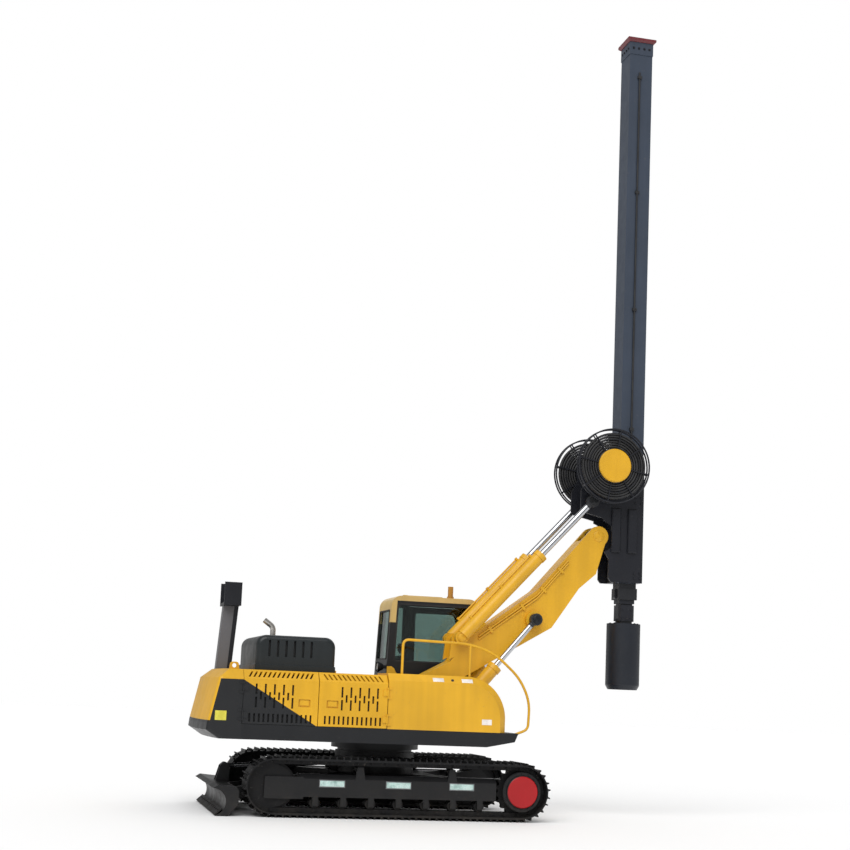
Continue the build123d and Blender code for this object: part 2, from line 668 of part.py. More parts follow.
def make_doors():
    """The house's doors, and the fixed halves of their hinges on either side."""
    y = HOUSE_HALF + HINGE_RADIUS + 2
    rear = make_side_panel((TAIL_X, DOOR_SPLIT_X), -1)
    front = make_side_panel((DOOR_SPLIT_X, BOX_X), 1)
    tail_leaves = []
    box_leaves = []
    for z in (DECK_TOP + 120, SHOULDER_Z - 120):
        moving, fixed = make_hinge((TAIL_X + SEAM, y), HOUSE_HALF, 1, z, HINGE_RADIUS)
        rear += moving
        tail_leaves.append(fixed)
        moving, fixed = make_hinge((BOX_X - SEAM, y), HOUSE_HALF, -1, z, HINGE_RADIUS)
        front += moving
        box_leaves.append(mirror(fixed, about=Plane.XZ))
    doors = {"door_left_rear": rear, "door_right_rear": mirror(rear, about=Plane.XZ)}
    doors["door_right_front"] = mirror(front, about=Plane.XZ)
    return doors, tail_leaves, box_leaves


def make_house():
    """The house's roof with the engine opening, its posts and its front wall."""
    edge = HOUSE_HALF - SHOULDER_IN - SEAM
    roof = block((TAIL_X, BOX_X), (-edge, edge), (HOUSE_TOP - 30, HOUSE_TOP))
    roof -= block((HOOD_X[0] + 70, HOOD_X[1] - 120), (100 - HOOD_HALF, HOOD_HALF - 100),
                  (HOUSE_TOP - 60, HOUSE_TOP + 20))
    inner = HOUSE_HALF - PANEL - CLEAR
    shoulder = SHOULDER_Z - 30
    roof += block((BOX_X - 45, BOX_X), (-inner, inner), (DECK_TOP, shoulder))
    roof += block((BOX_X - 45, BOX_X), (CLEAR - edge, edge - CLEAR), (shoulder - 20, HOUSE_TOP - 20))
    split = (DOOR_SPLIT_X - 30, DOOR_SPLIT_X + 30)
    for side in (-1, 1):
        roof += block(split, sided(side, inner - 60, inner), (DECK_TOP, shoulder))
        roof += block(split, sided(side, inner - 160, edge - CLEAR), (shoulder - 90, HOUSE_TOP - 20))
        roof += block(split, sided(side, inner - 160, inner), (shoulder - 90, shoulder))
    return roof


def make_front_box():
    """The closed box ahead of the right doors, with its big rounded front."""
    outline = face_of([(BOX_X + SEAM, DECK_TOP), (BOX_FRONT, DECK_TOP), (BOX_FRONT, BOX_TOP, BOX_CORNER),
                       (BOX_X + SEAM, BOX_TOP)])
    box = slab(outline, (-HOUSE_HALF, -BOX_INNER_Y))
    outer = box.edges().filter_by_position(Axis.Y, -HOUSE_HALF - 1, -HOUSE_HALF + 1)
    box = chamfer([edge for edge in outer if edge.center().Z > DECK_TOP + 50 and edge.center().X > BOX_X + 50], 100)
    hollow = face_of([(BOX_X + 60, DECK_TOP - 50), (BOX_FRONT - BOX_WALL, DECK_TOP - 50),
                      (BOX_FRONT - BOX_WALL, BOX_TOP - BOX_WALL, BOX_CORNER - BOX_WALL),
                      (BOX_X + 60, BOX_TOP - BOX_WALL)])
    return box - slab(hollow, (-HOUSE_HALF + 60, -BOX_INNER_Y - 40))


def make_hood():
    """The engine hood, a rounded cover with slots, and the fixed halves of its hinges."""
    low, high = HOOD_X
    bottom = HOUSE_TOP + SEAM
    outline = face_of([(low, bottom), (high, bottom), (high, HOOD_TOP, HOOD_CORNER), (low, HOOD_TOP, HOOD_CORNER)])
    hood = slab(outline, (-HOOD_HALF, HOOD_HALF))
    hood = fillet(hood.edges().filter_by_position(Axis.Z, HOOD_TOP - 1, HOOD_TOP + 1).filter_by(Axis.X), 70)
    rim = HOOD_HALF + HOOD_LIP
    hood += chamfer(block((low - HOOD_LIP, high), (-rim, rim), (bottom, bottom + HOOD_LIP_TALL))
                    .faces().sort_by(Axis.Z)[-1].edges(), HOOD_LIP - 2)
    inside = face_of([(low + 35, bottom - 10), (high - 35, bottom - 10), (high - 35, HOOD_TOP - 35, HOOD_CORNER - 35),
                      (low + 35, HOOD_TOP - 35, HOOD_CORNER - 35)])
    hood -= slab(inside, (40 - HOOD_HALF, HOOD_HALF - 40)) & block(
        (low, high), (40 - HOOD_HALF, HOOD_HALF - 40), (bottom - 10, HOOD_TOP - 60))
    count = int((high - low - 400) / HOOD_SLOT_PITCH)
    for number in range(count):
        x = (low + high) / 2 + HOOD_SLOT_SHIFT + (number - (count - 1) / 2) * HOOD_SLOT_PITCH
        hood -= block((x - 15, x + 15), (-HOOD_HALF - 10, HOOD_HALF + 10), HOOD_SLOT_Z)
    leaves = None
    axis = (high + HOOD_KNUCKLE + 2, bottom + HOOD_KNUCKLE + 2)
    core = HOOD_KNUCKLE * 0.5
    for side in (-1, 1):
        y = side * (HOOD_HALF - 150)
        knuckle = pin(axis, HOOD_KNUCKLE, (y - 60, y + 60))
        knuckle += block((high - 30, axis[0]), (y - 50, y + 50), (axis[1] - 10, axis[1] + 10))
        hood += knuckle - pin(axis, core + RUN, (y - 80, y + 80))
        leaf = pin(axis, core, (y - 95, y + 95))
        for end in ((y - 95, y - 62), (y + 62, y + 95)):
            leaf += pin(axis, HOOD_KNUCKLE, end) + block((high + 3, axis[0] + 12), end, (HOUSE_TOP - 5, axis[1]))
        leaves = leaf if leaves is None else leaves + leaf
    return hood, leaves


def make_mast_rest():
    """The leaning post at the tail with the cradle on which the mast lies for travel."""
    low, high = REST_X - REST_HALF, REST_X + REST_HALF
    neck = REST_TOP - CRADLE_TALL
    lean = face_of([(low, HOUSE_TOP), (high, HOUSE_TOP), (high + REST_LEAN, neck), (low + REST_LEAN, neck)])
    rest = slab(lean, (-100, 100))
    gap = MAST_HALF + 45
    cradle = (low + REST_LEAN - 15, high + REST_LEAN + 15)
    rest += block(cradle, (-gap - CRADLE_WALL, gap + CRADLE_WALL), (neck - 5, neck + CRADLE_WALL))
    for side in (-1, 1):
        rest += block(cradle, sided(side, gap, gap + CRADLE_WALL), (neck - 5, REST_TOP))
    return rest


def make_handrail():
    """The bent tube rail over the front box, with its middle post."""
    y = RAIL_Y
    rail = pipe([(100, y, BOX_TOP - 20), (100, y, RAIL_TOP), (1060, y, RAIL_TOP - 20), (1420, y, RAIL_TOP - 140),
                 (RAIL_REACH - 155, y, BOX_TOP + 10), (RAIL_REACH, y, 1640), (RAIL_REACH - 15, y, DECK_TOP + 55),
                 (DECK_NOSE - 60, y, DECK_TOP - 40)], RAIL_BEND, RAIL_RADIUS)
    return rail + post((1060, y), RAIL_RADIUS - 2, (BOX_TOP - 20, RAIL_TOP - 25))


def upper_body():
    """Every node of the revolving upper, without the cab and the boom."""
    nodes = {"revolving_frame": make_revolving_frame(), "counterweight": make_counterweight()}
    doors, tail_leaves, box_leaves = make_doors()
    nodes.update(doors)
    for leaf in tail_leaves:
        nodes["counterweight"] += both(leaf)
    house = make_house() + make_side_panel((DOOR_SPLIT_X, BOX_X), 1)
    for x in (DOOR_SPLIT_X + 20, BOX_X - 45):
        strip = (HOUSE_HALF - PANEL - 40, HOUSE_HALF - PANEL + 5)
        house += block((x, x + 30), strip, (DECK_TOP + 40, SHOULDER_Z - 40))
    nodes["house"] = house
    nodes["front_box"] = make_front_box()
    for leaf in box_leaves:
        nodes["front_box"] += leaf
    nodes["engine_block"] = block((HOOD_X[0] + ENGINE_INSET[0], HOOD_X[1] - ENGINE_INSET[1]),
                                  (-ENGINE_HALF, ENGINE_HALF), (DECK_TOP, ENGINE_TOP))
    nodes["hood"], leaves = make_hood()
    nodes["house"] += leaves
    x, y = HOOD_X[0] + EXHAUST_IN, EXHAUST_Y_IN - HOOD_HALF
    path = [(x, y, HOOD_TOP - 25), (x, y, HOOD_TOP + 125), (x - 125, y, HOOD_TOP + 215)]
    nodes["exhaust"] = pipe(path, 90, EXHAUST_RADIUS, EXHAUST_RADIUS - EXHAUST_WALL) - nodes["hood"]
    nodes["mast_rest"] = make_mast_rest()
    nodes["handrail"] = make_handrail() - nodes["front_box"] - nodes["revolving_frame"]
    eye = face_of([(EYE_X - 68, HOUSE_TOP), (EYE_X + 68, HOUSE_TOP), (EYE_X + 56, HOUSE_TOP + 100, 40),
                   (EYE_X - 56, HOUSE_TOP + 100, 40)])
    hole = pin((EYE_X, HOUSE_TOP + 50), EYE_HOLE, (EYE_Y - 100, EYE_Y + 100))
    nodes["lifting_eyes"] = both(slab(eye, (EYE_Y - 20, EYE_Y + 20)) - hole)
    return nodes


# Cab

def cab_outline():
    """The cab's side outline with its rounded roof corners."""
    return face_of([(CAB_REAR + 10, DECK_TOP), (CAB_REAR, CAB_WAIST), (CAB_REAR + 45, CAB_TOP, 160),
                    (CAB_FRONT - 145, CAB_TOP, 190), (CAB_FRONT, CAB_BROW), (CAB_FRONT - 10, CAB_WAIST),
                    (CAB_FRONT - 110, DECK_TOP)])


def cab_windows():
    """The window outlines of the cab's right side, its left rear and its door."""
    back = [(CAB_REAR + 95, CAB_SILL, 50), (CAB_REAR + 125, CAB_HEAD, 80)]
    right = face_of(back + [(CAB_FRONT - 225, CAB_HEAD, 90), (CAB_FRONT - 100, CAB_BROW - 20),
                            (CAB_FRONT - 110, CAB_SILL, 50)])
    rear = face_of(back + [(CAB_DOOR_X - 70, CAB_HEAD, 40), (CAB_DOOR_X - 70, CAB_SILL, 50)])
    door = face_of([(CAB_DOOR_X + 80, CAB_SILL, 50), (CAB_DOOR_X + 80, CAB_HEAD - 70, 60),
                    (CAB_FRONT - 270, CAB_HEAD - 70, 80), (CAB_FRONT - 175, CAB_BROW - 20),
                    (CAB_FRONT - 190, CAB_SILL, 50)])
    return right, rear, door


def door_outline(gap):
    """The outline of the cab's door or, with a gap of zero, of its opening."""
    return face_of([(CAB_DOOR_X + gap, CAB_STEP + gap), (CAB_DOOR_X + gap, CAB_HEAD + 5 - gap),
                    (CAB_FRONT - 220 - gap, CAB_HEAD + 5 - gap, 90), (CAB_FRONT - 98 - gap, CAB_BROW - 20),
                    (CAB_FRONT - 110 - gap, CAB_WAIST), (CAB_FRONT - 190 - gap, CAB_STEP + gap)])


def cab_assembly():
    """The cab's shell, roof, door, panes, seat, console and beacon."""
    nodes = {}
    low, high = CAB_Y
    outline = cab_outline()
    inner = offset(outline, amount=-CAB_WALL, kind=Kind.INTERSECTION)
    shell = slab(outline, CAB_Y) - slab(inner, (low + CAB_WALL, high - CAB_WALL))
    right, rear, door_window = cab_windows()
    wall_out = (low - 10, low + CAB_WALL + 10)
    wall_door = (high - CAB_WALL - 10, high + 10)
    shell -= slab(right, wall_out) + slab(rear, wall_door) + slab(door_outline(0), wall_door)
    front = ((CAB_FRONT - 320, CAB_FRONT + 80), (low + 75, high - 75), (CAB_SILL - 340, CAB_HEAD - 60))
    back = ((CAB_REAR - 50, CAB_REAR + 230), (low + 90, high - 90), (CAB_SILL + 40, CAB_HEAD - 110))
    for window in (front, back):
        shell -= block(*window)
    cap = block((CAB_REAR - 50, CAB_FRONT + 80), (low - 10, high + 10), (CAB_TOP - 75, CAB_TOP + 10))
    lamp = (low + LAMP_RADIUS + 25, CAB_SILL - LAMP_RADIUS)
    housing = revolve(Plane.XZ * face_of([(0, 0), (LAMP_RADIUS * 0.5, 0), (LAMP_RADIUS, 70), (LAMP_RADIUS, 95),
                                          (LAMP_RADIUS - 8, 95), (LAMP_RADIUS - 8, 80), (0, 80)]), axis=Axis.Z)
    stem = block((CAB_REAR - 40, CAB_REAR + 20), (lamp[0] - 25, lamp[0] + 25), (lamp[1] - 25, lamp[1] + 25))
    nodes["cab_shell"] = shell - cap + stem + Pos(CAB_REAR - 30, *lamp) * Rot(Y=-90) * housing
    nodes["cab_roof"] = shell & cap
    skin = slab(offset(outline, amount=-18, kind=Kind.INTERSECTION), CAB_Y)
    skin -= slab(offset(outline, amount=-18 - GLASS, kind=Kind.INTERSECTION), (low - 10, high + 10))
    panes = slab(offset(right, amount=-RUN), (low + 18, low + 18 + GLASS))
    panes += slab(offset(rear, amount=-RUN), (high - 18 - GLASS, high - 18))
    for x, y, z in (front, back):
        panes += skin & block(x, (y[0] + RUN, y[1] - RUN), (z[0] + RUN, z[1] - RUN))
    nodes["cab_glass"] = panes
    door = slab(door_outline(SEAM), (high - CAB_WALL + 3, high)) - slab(door_window, wall_door)
    for z in (CAB_STEP + 160, CAB_HEAD - 160):
        moving, fixed = make_hinge((CAB_DOOR_X + SEAM, high + CAB_KNUCKLE + 2), high, 1, z, CAB_KNUCKLE)
        door += moving
        nodes["cab_shell"] += fixed
    nodes["cab_door"] = door
    nodes["cab_door_glass"] = slab(offset(door_window, amount=-RUN), (high - 18 - GLASS, high - 18))
    y = (low + high) / 2
    back, floor = CAB_REAR + SEAT_BACK, CAB_FLOOR
    seat = face_of([(back + 50, floor + 380, 30), (back + 550, floor + 380, 40), (back + 550, floor + 500, 50),
                    (back + 200, floor + 480, 40), (back + 120, floor + 1130, 45), (back, floor + 1130, 45)])
    stand = block((back + 150, back + 470), (y - 160, y + 160), (floor, floor + 385))
    nodes["operator_seat"] = slab(seat, (y - SEAT_HALF, y + SEAT_HALF)) + stand
    back, width = CAB_FRONT - CONSOLE_BACK, (low + 120, high - 120)
    console = block((back, back + 150), width, (floor, floor + 700))
    nodes["cab_console"] = console + block((back - 70, back + 170), width, (floor + 690, floor + 800))
    place = (CAB_FRONT - BEACON[0], low + BEACON[1])
    nodes["beacon"] = post(place, 52, (CAB_TOP, CAB_TOP + 40)) + post(place, 40, (CAB_TOP + 30, CAB_TOP + 190))
    return nodes


# Boom and its rams

def make_boom():
    """The welded box boom with its foot, its fork at the tip and its lugs."""
    foot_x, foot_z = BOOM_FOOT
    tip_x, tip_z = BOOM_TIP
    outline = face_of([(foot_x - 75, foot_z + 128), (foot_x + 370, foot_z + 370), BOOM_HEEL, BOOM_KNEE,
                       (tip_x - 106, tip_z + 106), (tip_x + 106, tip_z - 106), (tip_x - 30, tip_z - 570),
                       BOOM_THROAT, BOOM_ELBOW, (foot_x + 590, foot_z + 160), (foot_x + 75, foot_z - 130)])
    width = (-BOOM_HALF, BOOM_HALF)
    solid = slab(outline, width) + pin(BOOM_FOOT, FOOT_RADIUS, width) + pin(BOOM_TIP, TIP_RADIUS, width)
    wall = BOOM_HALF - BOOM_PLATE
    hollow = slab(offset(outline, amount=-BOOM_PLATE, kind=Kind.INTERSECTION), (-wall, wall))
    hollow -= pin(BOOM_FOOT, FOOT_RADIUS + BOOM_PLATE, width) + pin(BOOM_TIP, TIP_RADIUS + BOOM_PLATE, width)
    boom = solid - hollow
    boom -= pin(BOOM_TIP, 270, (-FORK_GAP_HALF, FORK_GAP_HALF))
    boss = (RAM_Y - RAM_EYE_WIDTH / 2 - CLEAR)
    boom += pin(LIFT_EYE, 125, (-boss, boss)) & slab(outline, (-boss, boss))
    tilt_x, tilt_z = TILT_BASE
    lug = face_of([(tilt_x - 130, tilt_z - 310), (tilt_x - 95, tilt_z + 20, 60), (tilt_x, tilt_z + 100, 60),
                   (tilt_x + 95, tilt_z + 20, 60), (tilt_x + 260, tilt_z + 50), (tilt_x + 300, tilt_z - 110)])
    for side in (-1, 1):
        boom += slab(lug, sided(side, BOOM_HALF - 40, BOOM_HALF))
    boom -= pin(BOOM_FOOT, FOOT_PIN + RUN, (-400, 400))
    reach = RAM_Y + RAM_EYE_WIDTH / 2 + 15
    boom += pin(TILT_BASE, TILT_RAM["pin"], (-reach, reach))
    return boom + pin(BOOM_TIP, TIP_PIN, (-BOOM_HALF - 4, BOOM_HALF + 4))


def pipe_run(drop):
    """The (x, z) points of a pipe that runs a drop below the boom's upper edge."""
    knee_x, knee_z = BOOM_KNEE
    slope = (BOOM_TIP[1] + 106 - knee_z) / (BOOM_TIP[0] - 106 - knee_x)
    end_x = BOOM_TIP[0] - PIPE_END
    start_x = BOOM_HEEL[0] + 90
    rise = (knee_z - BOOM_HEEL[1]) / (knee_x - BOOM_HEEL[0])
    return ((start_x, knee_z - rise * (knee_x - start_x) - drop), (knee_x, knee_z - drop),
            (end_x, knee_z + slope * (end_x - knee_x) - drop))


def make_boom_pipes():
    """Two hydraulic pipes along each side of the boom, held by clamps."""
    y = BOOM_HALF + PIPE_RADIUS + 4
    pipes = None
    for drop in PIPE_DROP:
        run = pipe([(x, y, z) for x, z in pipe_run(drop)], 200, PIPE_RADIUS)
        pipes = run if pipes is None else pipes + run
    start, knee, end = pipe_run(sum(PIPE_DROP) / 2)
    for (x0, z0), (x1, z1) in ((start, knee), (knee, end)):
        lean = -math.degrees(math.atan2(z1 - z0, x1 - x0))
        for share in (0.2, 0.75):
            place = (x0 + share * (x1 - x0), BOOM_HALF + 14, z0 + share * (z1 - z0))
            pipes += Pos(*place) * Rot(Y=lean) * Box(36, 28, PIPE_DROP[1] - PIPE_DROP[0] + 60)
    return both(pipes)


def boom_assembly():
    """The boom, its pipes and pins and the lift and tilt rams."""
    nodes = {"boom": make_boom(), "boom_pipes": make_boom_pipes()}
    eye_out = RAM_Y + RAM_EYE_WIDTH / 2
    inner = RAM_Y - RAM_EYE_WIDTH / 2 - CLEAR + 1
    barrel, rod = make_ram(LIFT_BASE, LIFT_EYE, RAM_Y, LIFT_RAM, (inner, eye_out + 12))
    nodes["lift_barrels"], nodes["lift_rods"] = both(barrel), both(rod)
    barrel, rod = make_ram(TILT_BASE, TILT_EYE, RAM_Y, TILT_RAM, (PLATE_OUT + 1, eye_out + 12))
    nodes["tilt_barrels"], nodes["tilt_rods"] = both(barrel), both(rod)
    return nodes


# Mast, bracket, reels and drilling tool

def make_bracket():
    """The bracket that holds the mast: side plates with ribs, back plate, lug and reel axle."""
    high = MAST_X + BRACKET_FRONT
    bottom, top = BRACKET_Z
    tip_x, tip_z = BOOM_TIP
    tilt_x, tilt_z = TILT_EYE
    outline = face_of([(tip_x + 190, bottom), (high, bottom), (high, top), (tip_x - 60, top, 80),
                       (tilt_x - 150, tilt_z + 170, 60), (tilt_x - 150, tilt_z - 150, 60), (tip_x + 60, tilt_z - 230),
                       (tip_x + 60, tip_z - 200), (tip_x + 150, tip_z - 330), (tip_x + 150, bottom + 50)])
    outline -= Pos(*BOOM_TIP) * Circle(240)
    bracket = both(slab(outline, (PLATE_IN, PLATE_OUT)))
    back = MAST_X - MAST_HALF
    bracket += block((back - 40, back), (-PLATE_OUT, PLATE_OUT), BRACKET_Z)
    for low in (bottom, (bottom + top) / 2, top - 200):
        bracket += both(block((back, high), (MAST_HALF, PLATE_IN + 2), (low, low + 200)))
    for x in RIB_X:
        rib = block((MAST_X + x - RIB_HALF, MAST_X + x + RIB_HALF), (PLATE_OUT - 2, PLATE_OUT + RIB_PROUD), RIB_Z)
        bracket += both(chamfer(rib.faces().sort_by(Axis.Y)[-1].edges(), RIB_PROUD / 3))
    lug = face_of([(tip_x, tip_z - 120), (back - 20, tip_z - 200), (back - 20, tip_z + 100), (tip_x, tip_z + 120)])
    half = FORK_GAP_HALF - 6
    bracket += slab(lug, (-half, half)) + pin(BOOM_TIP, 120, (-half, half))
    bracket += both(pin(REEL_CENTRE, REEL_AXLE + 35, (PLATE_OUT - 10, REEL_Y[0] - CLEAR)))
    bracket += both(pin(REEL_CENTRE, REEL_AXLE, (PLATE_OUT - 10, REEL_Y[1] - 8)))
    return bracket - pin(BOOM_TIP, TIP_PIN + RUN, (-300, 300))


def make_tube(side, wall, z):
    """A square mast tube, open at both ends."""
    return square(MAST_X, side, z) - square(MAST_X, side - 2 * wall, (z[0] - 10, z[1] + 10))


def make_reel():
    """One hose reel on the cab's side: spoked cheeks, drum, wound hose and hub cover."""
    low, high = REEL_Y
    place = REEL_CENTRE
    drum_radius = HUB_RADIUS - 20
    reel = pin(place, drum_radius, REEL_Y)
    for cheek in ((low, low + 12), (high - 12, high)):
        rim = pin(place, REEL_RADIUS, cheek) - pin(place, REEL_RADIUS - 22, (low - 5, high + 5))
        reel += rim
        for spoke in range(REEL_SPOKES):
            bar = block((drum_radius - 15, REEL_RADIUS - 8), cheek, (-9, 9))
            reel += Pos(place[0], 0, place[1]) * Rot(Y=spoke * 360 / REEL_SPOKES + 10) * bar
    for spoke in range(REEL_SPOKES):
        tie = block((REEL_RADIUS - 20, REEL_RADIUS - 4), REEL_Y, (-8, 8))
        reel += Pos(place[0], 0, place[1]) * Rot(Y=spoke * 360 / REEL_SPOKES + 10) * tie
    reel -= pin(place, REEL_AXLE + RUN, (low - 5, high - 8 + RUN))
    hose = pin(place, HOSE_RADIUS, (low + 14, high - 14)) - pin(place, drum_radius, REEL_Y)
    cover = pin(place, HUB_RADIUS, (high, high + 40))
    cover = chamfer(cover.edges().sort_by(Axis.Y)[-1], 14)
    return reel, hose, cover


def make_drill():
    """The drilling barrel: open below, drawn in outside at its rim, with a lid, a stem and its spigot."""
    low, high = DRILL_Z
    taper, rise = DRILL_TAPER
    inner = DRILL_RADIUS - DRILL_WALL
    wall = face_of([(DRILL_RADIUS - taper, low), (DRILL_RADIUS, low + rise, 40), (DRILL_RADIUS, high), (0, high),
                    (0, high - DRILL_LID), (inner, high - DRILL_LID), (inner, low)])
    drill = Pos(MAST_X, 0, 0) * revolve(Plane.XZ * wall, axis=Axis.Z)
    drill += post((MAST_X, 0), STEM_RADIUS, (high - 5, HEAD_Z[0] - RUN))
    return drill + post((MAST_X, 0), SPIGOT_RADIUS, (high, HEAD_Z[0] + SPIGOT_LENGTH))


def make_outer_mast():
    """The fixed mast tube with the band at its top, and the guide sleeve at its foot with its collar."""
    mast = make_tube(MAST_SIDE, MAST_WALL, (MAST_FOOT, MAST_TOP))
    mast += make_tube(MAST_SIDE + 2 * BAND_PROUD, BAND_PROUD + 2, (MAST_TOP - BAND_HEIGHT, MAST_TOP))
    mast += square(MAST_X, MAST_SIDE, (MAST_FOOT, MAST_FOOT + 40))
    mast += square(MAST_X, SLEEVE_SIDE, (SLEEVE_BOTTOM, MAST_FOOT + 20))
    collar = SLEEVE_SIDE + 2 * COLLAR_PROUD
    mast += square(MAST_X, collar, (SLEEVE_BOTTOM, SLEEVE_BOTTOM + COLLAR_HEIGHT))
    reach = collar / 2 + 28
    lug = block((MAST_X - reach, MAST_X + reach), (-50, 50), (SLEEVE_BOTTOM + 15, SLEEVE_BOTTOM + COLLAR_HEIGHT - 10))
    mast += chamfer(lug.edges().filter_by(Axis.Y), 14)
    return mast - square(MAST_X, STAGE_1_SIDE + 2 * GUIDE_FIT, (SLEEVE_BOTTOM - 10, MAST_FOOT + 50))


def make_stage(side, z, around, inside):
    """One sliding mast tube with the guide shoe at its top and the guide ring at its foot.

    The shoe runs in a tube whose inner side is around. The ring guides the tube of the
    side inside, if there is one.
    """
    low, high = z
    stage = make_tube(side, STAGE_WALL, z)
    shoe = around - 2 * GUIDE_FIT
    stage += make_tube(shoe, (shoe - side) / 2 + 2, (high - SHOE_TALL, high))
    if inside:
        stage += make_tube(side, (side - inside) / 2 - GUIDE_FIT, (low, low + 50))
    return stage


def make_mast_hose():
    """The hose up the mast's right side, with the clips that hold it."""
    x, y = MAST_X + MAST_HOSE_X, -MAST_HALF - MAST_HOSE_RADIUS - 2
    low, high = BRACKET_TOP + CLEAR, MAST_TOP - 500
    hose = post((x, y), MAST_HOSE_RADIUS, (low, high))
    for number in range(int((high - low) / MAST_CLIP_PITCH) + 1):
        z = high - 80 - number * MAST_CLIP_PITCH
        hose += block((x - 32, x + 32), (y - MAST_HOSE_RADIUS - 4, -MAST_HALF), (z - 22, z + 22))
    return hose


def mast_assembly():
    """The bracket, the telescopic mast, the reels and the drilling tool."""
    nodes = {"mast_bracket": make_bracket()}
    cap = square(MAST_X, CAP_SIDE, (MAST_TOP, MAST_TOP + CAP_HEIGHT))
    nodes["mast_cap"] = chamfer(cap.edges().filter_by_position(Axis.Z, MAST_TOP - 1, MAST_TOP + 1), 25)
    nodes["outer_mast"] = make_outer_mast()
    nodes["mast_hose"] = make_mast_hose()
    stage_1 = (SLEEVE_BOTTOM - STAGE_SHOW, MAST_TOP - 400)
    nodes["middle_mast"] = make_stage(STAGE_1_SIDE, stage_1, MAST_SIDE - 2 * MAST_WALL, STAGE_2_SIDE)
    stage_2 = (HEAD_Z[1], MAST_TOP - 700)
    nodes["inner_mast"] = make_stage(STAGE_2_SIDE, stage_2, STAGE_1_SIDE - 2 * STAGE_WALL, 0)
    head = square(MAST_X, HEAD_SIDE, HEAD_Z)
    head = chamfer(head.edges().filter_by(Axis.Z), 30) + post((MAST_X, 0), HEAD_FLANGE, (HEAD_Z[0], HEAD_Z[0] + 28))
    socket = post((MAST_X, 0), SPIGOT_RADIUS + RUN, (HEAD_Z[0] - 10, HEAD_Z[0] + SPIGOT_LENGTH + 10))
    nodes["power_head"] = head - socket
    nodes["drill_barrel"] = make_drill()
    reel, hose, cover = make_reel()
    for name, shape in (("reel", reel), ("reel_hose", hose), ("reel_cover", cover)):
        nodes[name + "_left"] = shape
        nodes[name + "_right"] = mirror(shape, about=Plane.XZ)
    return nodes


def main():
    """Model every node and write one STEP file for each."""
    os.makedirs("parts", exist_ok=True)
    nodes = {}
    for group in (undercarriage, upper_body, cab_assembly, boom_assembly, mast_assembly):
        nodes.update(group())
    for name, shape in nodes.items():
        export_step(Pos(-ORIGIN_AHEAD, 0, 0) * shape, "parts/" + name + ".step")


if __name__ == "__main__":
    main()
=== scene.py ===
"""Dresses the piling rig: a finish for every solid, and the small pieces that the solids leave out.

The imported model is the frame. Places are in metres. A place that is counted from the slew axis, with
+X to the mast, +Y to the cab's side and +Z up, goes through SubAssembly.at to the frame of the model.
"""
from __future__ import annotations

import json
import logging
import math
from dataclasses import dataclass, field
from enum import Enum
from typing import Sequence, Union

import bmesh
import bpy
from mathutils import Matrix, Vector

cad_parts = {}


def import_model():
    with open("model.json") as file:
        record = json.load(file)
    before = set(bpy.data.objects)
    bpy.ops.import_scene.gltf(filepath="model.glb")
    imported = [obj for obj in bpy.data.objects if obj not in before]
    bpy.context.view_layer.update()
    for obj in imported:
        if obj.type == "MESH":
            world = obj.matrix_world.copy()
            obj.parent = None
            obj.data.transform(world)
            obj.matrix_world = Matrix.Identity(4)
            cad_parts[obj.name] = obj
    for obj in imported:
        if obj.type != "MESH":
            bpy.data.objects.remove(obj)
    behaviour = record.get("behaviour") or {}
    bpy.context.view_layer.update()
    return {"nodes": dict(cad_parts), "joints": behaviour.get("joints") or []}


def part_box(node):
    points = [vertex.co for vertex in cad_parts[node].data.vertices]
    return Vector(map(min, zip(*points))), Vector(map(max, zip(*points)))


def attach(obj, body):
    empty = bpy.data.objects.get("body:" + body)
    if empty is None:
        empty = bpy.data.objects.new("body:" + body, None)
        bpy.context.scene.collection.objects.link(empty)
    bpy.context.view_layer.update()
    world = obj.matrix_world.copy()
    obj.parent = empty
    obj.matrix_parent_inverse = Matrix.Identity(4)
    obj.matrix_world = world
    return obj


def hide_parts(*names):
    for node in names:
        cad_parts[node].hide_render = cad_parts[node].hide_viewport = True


LOG = logging.getLogger("piling_rig")
SIDES = (-1, 1)
X_AXIS, Y_AXIS, Z_AXIS = Vector((1, 0, 0)), Vector((0, 1, 0)), Vector((0, 0, 1))

Colour = tuple[float, float, float]
Place = Union[Vector, Sequence[float]]
Pair = tuple[float, float]
Point = tuple[float, float, float]
Line = tuple[Pair, ...]
Outline = tuple[Point, ...]
Span = tuple[Pair, Pair]
Block = tuple[Point, Point, float]
Socket = bpy.types.NodeSocket


class Finish(Enum):
    """The finishes of the rig. Each value names the material."""

    YELLOW = "yellow_paint"
    TAIL = "tail_paint"
    BLACK = "black_paint"
    HOOD = "hood_paint"
    CAB = "cab_paint"
    MAST = "mast_paint"
    BRACKET = "bracket_paint"
    DRILL = "drill_paint"
    RED = "red_paint"
    CAP = "cap_paint"
    REST = "rest_paint"
    TRACK = "track_steel"
    FRAME = "frame_paint"
    STEEL = "bare_steel"
    CHROME = "hard_chrome"
    EXHAUST = "exhaust_steel"
    HOSE = "hose_rubber"
    RUBBER = "seal_rubber"
    GLASS = "tinted_glass"
    SEAT = "seat_cloth"
    PLASTIC = "moulded_plastic"
    AMBER = "amber_lens"
    REFLECTOR = "reflector_sheet"
    LABEL = "bare_label"
    LAMP = "lamp_lens"
    ROOF = "roof_paint"
    PLATE = "bare_plate"


